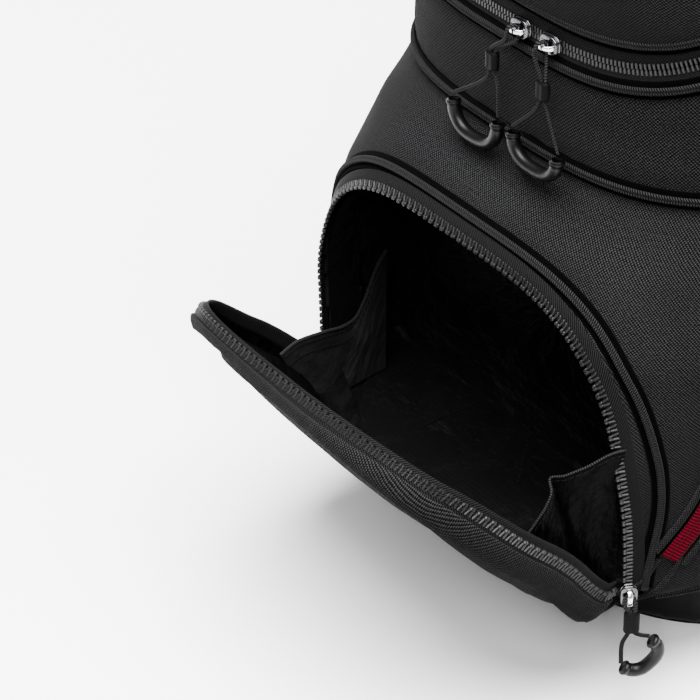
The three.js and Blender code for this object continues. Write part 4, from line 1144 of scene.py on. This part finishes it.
def side_frame(t, z, lean, sign):
    """Point on the bag with the directions along a leaning zipper and out of the cloth."""
    e = 0.3
    here = around(t, z)
    along = unit(around(t + e * lean, z + e) - around(t - e * lean, z - e))
    n = unit(np.cross(around(t + e, z) - around(t - e, z), along))
    flip = np.array([sign, 1, 1])
    return here * flip, along * flip, n * flip


def tab(tag, slider_body, tab_body, t, z, lean, sign):
    """Slider of a side or garment zipper with a flat moulded tab."""
    here, along, n = side_frame(t, z, lean, sign)
    at = here + n * 2.9
    slider(f"{tag}_slider_nickel", slider_body, at, along, n, [f"{tag}_slider"], 11, 9, 3)
    pivot = at + n * 4.45
    x = unit(np.cross(along, n))
    up = np.cross(x, along)
    outer = [(-3.6, 0.7), (3.6, 0.7), (4.4, -6), (4.4, -27), (2.2, -30), (-2.2, -30),
             (-4.4, -27), (-4.4, -6), (-3.6, 0.7)]
    hole = [(-2.2, -1.2), (2.2, -1.2), (2.3, -6.2), (-2.3, -6.2), (-2.2, -1.2)]
    loop, inner = resample(outer, n=81)[:-1], resample(hole, n=81)[:-1]
    rows = []
    for k, h in [(0, -0.55), (0.09, -0.8), (0.2, -0.8), (0.35, -0.62), (0.8, -0.62),
                 (1, -0.62), (1, 0.62), (0.8, 0.62), (0.35, 0.62), (0.2, 0.8), (0.09, 0.8),
                 (0, 0.55)]:
        q = loop * (1 - k) + inner * k
        rows.append(pivot + q[:, :1] * x + q[:, 1:] * along + h * up)
    make(f"{tag}_tab_moulded", grid(rows), quads(80, len(rows), True, True), M["gloss"], tab_body,
         "rubber", replaces=[f"{tag}_tab"])


tab("side_right", "side_slider_right", "side_tab_right", 70.2, 186, 2 / 32, 1)
tab("side_left", "side_slider_left", "side_tab_left", 70.2, 186, 2 / 32, -1)
tab("garment", "garment_slider", "garment_tab", 78, 780, 0, 1)

# ------------------------------------------------------------------ red side zippers
SIDE_PATH = [(56.4, 92), (58.6, 100), (62, 114), (66, 138), (69, 168), (71, 200), (72, 236)]
GARMENT_PATH = [(78, 365), (78, 460), (78, 550), (78, 610), (78, 660), (78, 800)]


def path_on_body(path, sign, n, off=0.0, across=0.0):
    """Line through (angle, height) points on the bag, and its normals. sign is -1 for its
    mirror image on the left."""
    t, z = spline(path, n).T
    here = around(t, z)
    nrm = unit(np.cross(around(t + 0.2, z) - here, around(t, z + 0.2) - here))
    t = unit(np.gradient(here, axis=0))
    side = unit(np.cross(t, nrm))
    flip = np.array([sign, 1, 1])
    return (here + nrm * off + side * across) * flip, nrm * flip


def side_zip(tag, path, sign, replaces, n=150):
    """Coil zipper with its two tapes, in a dark channel between two welts."""
    coil = [(-5, 0.0), (-4.9, 0.7), (-3.0, 0.95), (-0.9, 1.15), (-0.35, 0.75), (0.35, 0.75),
            (0.9, 1.15), (3.0, 0.95), (4.9, 0.7), (5, 0.0), (3, -0.3), (-3, -0.3)]
    channel = [(-8.5, -0.3), (-8.5, 0.25), (8.5, 0.25), (8.5, -0.3)]
    welt = [(-1.9, -0.6), (-1.4, 0.7), (0, 1.35), (1.4, 0.7), (1.9, -0.6)]
    for part, section, off, across, mat, slot, stands_for in [
            ("tape", coil, 0.9, 0, "red", "red_zipper", replaces),
            ("channel", channel, 0.45, 0, "channel", "zipper", ()),
            ("welt_0", welt, 1.0, -8.8, "shell", "shell", ()),
            ("welt_1", welt, 1.0, 8.8, "shell", "shell", ())]:
        q, nrm = path_on_body(path, sign, n, off, across)
        sweep(f"{tag}_{part}", q, nrm, section, M[mat], "bag", slot, replaces=stands_for)


side_zip("side_zip_right", SIDE_PATH, 1, ["side_zipper_right"])
side_zip("side_zip_left", SIDE_PATH, -1, ["side_zipper_left"])
side_zip("garment_zip", GARMENT_PATH, 1, ["garment_zipper"], 260)
# Seams that run on from the side zippers to the foot of the ball pocket.
for sign, name in ((1, "right"), (-1, "left")):
    for k, path in enumerate(([(54.2, 92), (52.0, 82), (49.0, 76), (46.0, 73.0)],
                              [(58.8, 92), (56.5, 80), (53.5, 71), (50.0, 65.5)])):
        q, nrm = path_on_body(path, sign, 40, 0.7)
        sweep(f"foot_seam_{name}_{k}", q, nrm, disc(1.3, 8), M["shell"], "bag", "shell")

# Bound hem round the bottom of the shell, left out across the ball pocket.
for k, (z, off, r) in enumerate([(61.5, -0.6, 1.6), (67.5, 0.35, 0.7)]):
    ring = around(np.linspace(-180, 180, 420, endpoint=False), z, off)
    keep = ~((np.abs(ring[:, 0]) < ARCH_HALF) & (ring[:, 1] < -60))
    start = int(np.where(keep & ~np.roll(keep, 1))[0][0])
    idx = np.roll(np.arange(420), -start)
    idx = idx[keep[idx]]
    sweep(f"hem_{k}", ring[idx], level_out(ring[idx]), disc(r, 8), M["pipe"], "bag", "piping")

# ------------------------------------------------------------------ base, cuff and dividers
def oval(half, front_y, back_y, power, grow, n):
    """Plan outline let out by grow."""
    t = circle(n)
    y = -np.cos(t)
    x = (half + grow) * spow(np.sin(t), 2 / power)
    return np.stack([x, np.where(y < 0, -front_y + grow, back_y + grow) * spow(y, 2 / power)], -1)


def turned(name, dims, profile, mat, replaces=(), slot=None, capped=False, ribs=0,
           rib_depth=0.0, n=180):
    """Plan outline carried through a profile of (grow, height) pairs, which is closed unless
    its two ends are capped."""
    m = len(profile)
    g = grid([np.hstack([oval(*dims, grow, n), np.full((n, 1), float(z))])
              for grow, z in profile])
    if ribs:
        mid = np.clip(np.sin(np.linspace(0, math.pi, m)) * 3, 0, 1)
        wave = np.cos(np.arange(n) / n * 2 * math.pi * ribs) > 0.72
        g = g + unit(g * np.array([1, 1, 0])) * (wave[:, None] * mid[None, :] * rib_depth)[
            ..., None]
    faces = quads(n, m, True, not capped).tolist()
    if capped:
        faces += [[i * m + end for i in range(n)] for end in (0, m - 1)]
    make(name, g, faces, M[mat], "bag", slot or mat,
         uv_grid(np.arange(n) / n * TURNED_GIRTH, arc(np.array(profile))), replaces=replaces)


# Half width, front, back and power of each plan.
BASE, TUBE, CUFF = (128, -132, 122, 2.6), (116, -112, 112, 2.6), (134, -135, 131, 2.5)
TURNED_GIRTH = 820
turned("base_cup_moulded", BASE, [(-60, 11), (-8, 11), (-6.5, 20), (-5, 57.2), (-4.6, 57.4),
                                  (-1.6, 57.4), (-0.9, 56.9), (-0.6, 55.8), (0.6, 44),
                                  (1.9, 31.5), (2.6, 31), (2.7, 28.6), (2.2, 28), (1.8, 20),
                                  (1.3, 10), (0.9, 7.4), (-0.2, 4.6), (-2.2, 3.5), (-60, 3.5)],
       "moulded", ["base_cup"], capped=True, n=240, ribs=48, rib_depth=0.7)
turned("base_pad_rubber", BASE, [(-60, 3.3), (-3.4, 3.3), (-3.0, 2.7), (-3.0, 0.9), (-3.8, 0.1),
                                 (-9, 0.1), (-10, 0.9), (-14, 0.9), (-15, 0.1), (-60, 0.1)],
       "rubber", ["base_pad"], capped=True, n=200)
turned("tube_sleeve", TUBE, [(-2.4, 61), (-2.4, 200), (-2.4, 500), (-2.4, 864), (-1.8, 865.6),
                             (-0.6, 865.6), (0, 864), (0, 500), (0, 200), (0, 61)],
       "lining", ["club_tube"])
turned("cuff_ring", CUFF, [(-24, 868), (-6, 868), (-4, 868.2), (-1.4, 870), (0, 873), (0.3, 876),
                           (-0.6, 877), (-0.6, 879.5), (0.3, 880.5), (0.3, 892), (-0.4, 896),
                           (-2.2, 899.6), (-5, 901.6), (-8, 902), (-16, 902), (-20, 901.2),
                           (-22.6, 899), (-23.8, 896), (-24, 893)],
       "moulded", ["top_cuff"], n=220)
turned("cuff_band", CUFF, [(-7.2, 855), (-6.2, 855), (-5.6, 856), (-5.6, 866.4), (-6.4, 867.4),
                           (-7.2, 867.4)], "webbing", slot="band", n=220)


def bar_pad(name, w, d, x, y, replaces=(), lo=872.2, hi=898.8):
    """Divider bar with a soft rounded top."""
    h, half_long = min(w, d) / 2, max(w, d) / 2
    left = [(-h, lo + 8), (-h * 0.9, lo + 7), (-h, lo + 6), (-h, lo)]
    sec = [(-c, z) for c, z in left[::-1]]
    sec += [(h * math.cos(k), hi - h * 0.9 + h * 0.9 * math.sin(k))
            for k in np.linspace(0, math.pi, 12)] + left
    ends = [(-half_long, 0.55), (-half_long + 0.8, 0.85), (-half_long + 2.2, 1.0)]
    pos = ends + [(v, 1.0) for v in np.linspace(-half_long + 6, half_long - 6, 24)] + \
        [(-a, b) for a, b in ends[::-1]]
    rows = []
    for a, k in pos:
        row = [(c * k, lo + (z - lo) * (0.9 + 0.1 * k)) for c, z in sec]
        rows.append([(x + a, y + c, z) if w > d else (x + c, y + a, z) for c, z in row])
    n, m = len(pos), len(sec)
    faces = quads(n, m, False, True).tolist()
    faces += [[i * m + k for k in range(m)] for i in (0, n - 1)]
    make(name, rows, faces, M["pad"], "bag", "pad",
         uv_grid([p[0] for p in pos], np.arange(m) * 2.0), replaces=replaces)


bar_pad("divider_spine", 9, 212, 0, -2, ["divider_frame"])
bar_pad("divider_front", 184, 9, 0, -56)
bar_pad("divider_middle", 216, 9, 0, 0)
bar_pad("divider_back", 184, 9, 0, 54)
ys, zs = np.linspace(-102, 98, 60), np.linspace(131, 871, 60)
g = np.stack(np.broadcast_arrays(0.0, ys[:, None], zs[None, :]), -1)
g[..., 0] = ripple(g, 160, 51) * 0.6
sheet_ob = make("divider_cloth", g, quads(60, 60), M["lining"], "bag", "lining", g[..., 1:],
                replaces=["divider_sheet"])
thicken(sheet_ob, 1.0, 0)


# ------------------------------------------------------------------ handles
line = spline([(-52, 133.5, 884), (-44, 152, 884), (-20, 162, 884), (20, 162, 884),
               (44, 152, 884), (52, 133.5, 884)], 150)
d = np.linspace(0, 1, 150)
grip_zone = np.clip((0.3 - np.abs(d - 0.5)) * 30, 0, 1)
k = 0.93 + 0.07 * grip_zone * (0.5 + 0.5 * np.cos(d * 2 * math.pi * 34)) \
    + 0.12 * np.exp(-(np.minimum(d, 1 - d) / 0.03) ** 2)
sweep("cuff_grab", line, np.tile(UP, (150, 1)), disc(6.6, 24), M["rubber"], "bag",
      "rubber", scale=k, replaces=["cuff_handle"])


def strap_run(name, points, across, width, thick, body, replaces, origin=(0, 0, 0), boxes=()):
    """Flat webbing with rolled edges and a stitched box over each stretch in boxes."""
    line = spline(points, 90) + np.asarray(origin, float)
    t = unit(np.gradient(line, axis=0))
    nrm = unit(np.cross(t, np.asarray(across, float)))
    w, h = width / 2, thick / 2
    edge = [(w - 2.2, -h * 0.85), (w - 0.8, -h), (w, -h * 0.4), (w, h * 0.4), (w - 0.8, h),
            (w - 2.2, h * 0.85)]
    left = [(-c, -z) for c, z in edge]
    sweep(name, line, nrm, left[3:] + [(0, -h * 0.85)] + edge + [(0, h * 0.85)] + left[:3],
          M["webbing"], body, "band", replaces=replaces)
    length = arc(line)
    side = unit(np.cross(t, nrm))
    for j, (s0, s1) in enumerate(boxes):
        s0, s1, v = s0 * length[-1], s1 * length[-1], w - 3
        loops = [[(s0, -v), (s1, -v)], [(s1, -v), (s1, v)], [(s1, v), (s0, v)],
                 [(s0, v), (s0, -v)], [(s0, -v), (s1, v)], [(s0, v), (s1, -v)]]
        for face, sgn in (("a", 1), ("b", -1)):
            for q, (start, end) in enumerate(loops):
                s, v_ = np.linspace(start, end, 30).T
                pts = sample(s, length, line) + sample(s, length, side) * v_[:, None]
                stitches(f"{name}_box_{j}_{q}_{face}", pts, sample(s, length, nrm) * sgn, body,
                         "band", lift=h * 0.95)


strap_run("spine_grab", [(0, 127.6, 590), (0, 146, 570), (0, 153, 500), (0, 146, 430),
                         (0, 127.6, 410)], (1, 0, 0), 34, 4, "bag", ["spine_handle"],
          boxes=((0.02, 0.12), (0.88, 0.98)))
S0 = (-139, 8, 0)
strap_run("strap_top_web", [(-16, 0, 784.5), (-34, 0, 745), (-50, 0, 712)], (0, 1, 0), 34, 3,
          "strap", ["strap_web_upper"], S0, boxes=((0.1, 0.5),))
strap_run("strap_low_web", [(-50, 0, 455), (-34, 0, 415), (-16, 0, 367.5)], (0, 1, 0), 34, 3,
          "strap", ["strap_web_lower"], S0, boxes=((0.5, 0.9),))


def metal_ring(name, ring, body, node):
    sweep(name, ring, unit(ring - ring.mean(0)), disc(1.8, 14), M["metal"], body, "metal",
          closed=True, replaces=[node])


for name, z, way in (("upper", 800, -1), ("lower", 352, 1)):
    # A stadium-shaped ring that leans out from the body.
    a = circle(90)
    ring = np.stack([-7 - 7 * np.cos(a), 22 * spow(np.sin(a), 0.7),
                     z + way * (6 + 6 * np.cos(a))], -1) + np.array(S0)
    ring = resample(np.vstack([ring, ring[:1]]), n=91)[:-1]
    metal_ring(f"strap_loop_{name}", ring, "strap", f"strap_ring_{name}")
    # Tab of webbing that holds the ring to the body.
    c = around(-90, z, 0.9)
    hold = spline([(c[0], 8, z + way * 26), (c[0], 8, z + way * 10), (c[0] - 1.0, 8, z),
                   (c[0], 8, z - way * 10), (c[0], 8, z - way * 26)], 40)
    sweep(f"strap_tab_{name}", hold, np.tile([[-1.0, 0, 0]], (40, 1)),
          [(-15, -0.7), (-14, -1.0), (14, -1.0), (15, -0.7), (15, 0.6), (14, 1.0), (-14, 1.0),
           (-15, 0.6)], M["webbing"], "bag", "band")

# Towel ring and its tab.
tow = around(36, 846, 6.5)
tow_n = unit(around(37, 846) - around(35, 846))
out = np.array([tow_n[1], -tow_n[0], 0])
a = circle(80)[:, None]
ring = tow + UP * (-17.0) + 17 * np.cos(a) * tow_n + 17 * np.sin(a) * UP
metal_ring("towel_loop", ring, "towel_ring", "towel_ring")
base = around(36, 846, 0)
tl = spline([base - UP * 16 + out * 0.8, base - UP * 5 + out, tow + out * 2.6 - UP,
             tow + UP * 3.2 + out, base + UP * 9 + out * 1.6, base + UP * 20 + out * 0.8], 50)
sweep("towel_tab", tl, unit(np.cross(np.gradient(tl, axis=0), tow_n)),
      [(-6, -0.6), (6, -0.6), (6, 0.6), (-6, 0.6)], M["webbing"], "bag", "band")


# ------------------------------------------------------------------ sewn pads by cloth simulation
def bake(ob):
    """Applies all modifiers."""
    dg = bpy.context.evaluated_depsgraph_get()
    dg.update()
    me = bpy.data.meshes.new_from_object(ob.evaluated_get(dg))
    old = ob.data
    ob.modifiers.clear()
    ob.data = me
    bpy.data.meshes.remove(old)


def read(ob):
    """Points of a mesh, in metres."""
    a = np.empty(len(ob.data.vertices) * 3, np.float32)
    ob.data.vertices.foreach_get("co", a)
    return a.reshape(-1, 3).astype(float)


def write(ob, v):
    ob.data.vertices.foreach_set("co", v.astype(np.float32).ravel())
    ob.data.update()


def inflate(name, rows, pressure, cap, voxel):
    """Lofted cushion swollen by air pressure, no point moving further than cap millimetres."""
    ob = make(name, rows, tube_faces(*np.shape(rows)[:2]), M["pad3d"], None, "pad")
    md = ob.modifiers.new("remesh", "REMESH")
    md.mode, md.voxel_size = "VOXEL", voxel * MM
    bake(ob)
    before = read(ob)
    st = ob.modifiers.new("cloth", "CLOTH").settings
    st.quality = 4
    st.mass = 0.2
    st.use_pressure = True
    st.uniform_pressure_force = pressure
    st.effector_weights.gravity = 0
    st.tension_stiffness = st.compression_stiffness = 22
    st.bending_stiffness = 1.2
    scene = bpy.context.scene
    for frame_no in range(1, 21):
        scene.frame_set(frame_no)
    bake(ob)
    scene.frame_set(1)
    move = read(ob) - before
    far = np.linalg.norm(move, axis=1, keepdims=True)
    write(ob, before + move * np.minimum(1, cap * MM / np.maximum(far, 1e-9)))
    finer(ob)
    bake(ob)
    ob.data.polygons.foreach_set("use_smooth", [True] * len(ob.data.polygons))
    return ob


def finish_pad(ob, points, body, node):
    write(ob, points * MM)
    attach(ob, body)
    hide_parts(node)


# Shoulder pad: starts thinner than its room, then swells between three sewn channels.
N_PAD, PAD_MID = 60, 583
pad_line = spline([(-52, 0, 708), (-64, 0, 650), (-68, 0, 584), (-64, 0, 515), (-52, 0, 459)],
                  N_PAD) + np.array(S0)
pad_n = unit(np.cross(np.gradient(pad_line, axis=0), np.array([0, 1.0, 0])))
from_mid = np.abs(np.linspace(-1, 1, N_PAD))
taper = 1 - 0.30 * from_mid**6
a = circle(40)
rows = pad_line[:, None] + (31 * taper)[:, None, None] * (
    spow(np.cos(a), 0.6)[:, None] * np.array([0, 1.0, 0]))
rows = rows + (4.2 * (1 - 0.55 * from_mid**10))[:, None, None] * (
    spow(np.sin(a), 0.8)[:, None] * pad_n[:, None])
pad = inflate("shoulder_pad", rows, 4.0, 4.5, 4.0)
q = read(pad) / MM
i = np.clip(np.searchsorted(-pad_line[:, 2], -q[:, 2]), 0, N_PAD - 1)
rel = ((q - pad_line[i]) * pad_n[i]).sum(1)
groove = sum(np.exp(-((q[:, 1] - S0[1] - c) / 1.9) ** 2) for c in (-14, 0, 14))
groove = np.clip(groove, 0, 1) * np.clip(1 - np.abs(q[:, 2] - PAD_MID) / 118, 0, 0.15) / 0.15
q -= pad_n[i] * (np.sign(rel) * groove * 2.4 * np.clip(np.abs(rel) / 4, 0, 1))[:, None]
finish_pad(pad, q, "strap", "strap_pad")
half = np.stack([0 * taper, 31.6 * taper, 0 * taper], -1)
edge = np.vstack([(pad_line + half)[2:-2], (pad_line - half)[2:-2][::-1]])
edge = resample(np.vstack([edge, edge[:1]]), n=241)[:-1]
sweep("shoulder_pad_cord", edge, unit(edge - np.array([-200, S0[1], PAD_MID])), disc(1.6, 10),
      M["pipe"], "strap", "piping", closed=True)

# Garment pocket panel: a puffed cloth face held by its zipper side and sewn round.
GARMENT_T, GARMENT_Z, GARMENT_WIDE, GARMENT_HIGH = 106, 582, 21, 222


def garment_row(k, off, n=88):
    a = circle(n)
    return around(GARMENT_T + GARMENT_WIDE * k * spow(np.cos(a), 0.4),
                  GARMENT_Z + GARMENT_HIGH * k * spow(np.sin(a), 0.4), off)


panel = inflate("garment_pocket", [garment_row(k, off) for k, off in [
    (0.01, 1.4), (0.1, 1.4), (0.3, 1.4), (0.6, 1.4), (0.85, 1.4), (0.97, 1.4), (0.985, 2.4),
    (0.985, 4.0), (0.97, 5.2), (0.93, 6.4), (0.8, 7.6), (0.6, 8.2), (0.4, 8.4), (0.2, 8.5),
    (0.08, 8.55), (0.01, 8.55)]], 3.0, 4.0, 5.0)
q = read(panel) / MM
q += unit(q * np.array([1, 1, 0])) * (ripple(q, 70, 61) * 0.8)[:, None] * (q[:, :1] > 60)
finish_pad(panel, q, "bag", "garment_panel")
a = garment_row(1.03, 1.6, 360)
twin_cord("garment_cord", a, unit(a * np.array([1, 1, 0])), "bag", closed=True)

# ------------------------------------------------------------------ frame parts that stay
for node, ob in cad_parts.items():
    ob.data.materials.clear()
    ob.data.materials.append(M["channel" if node == "shell_floor" else "moulded"])
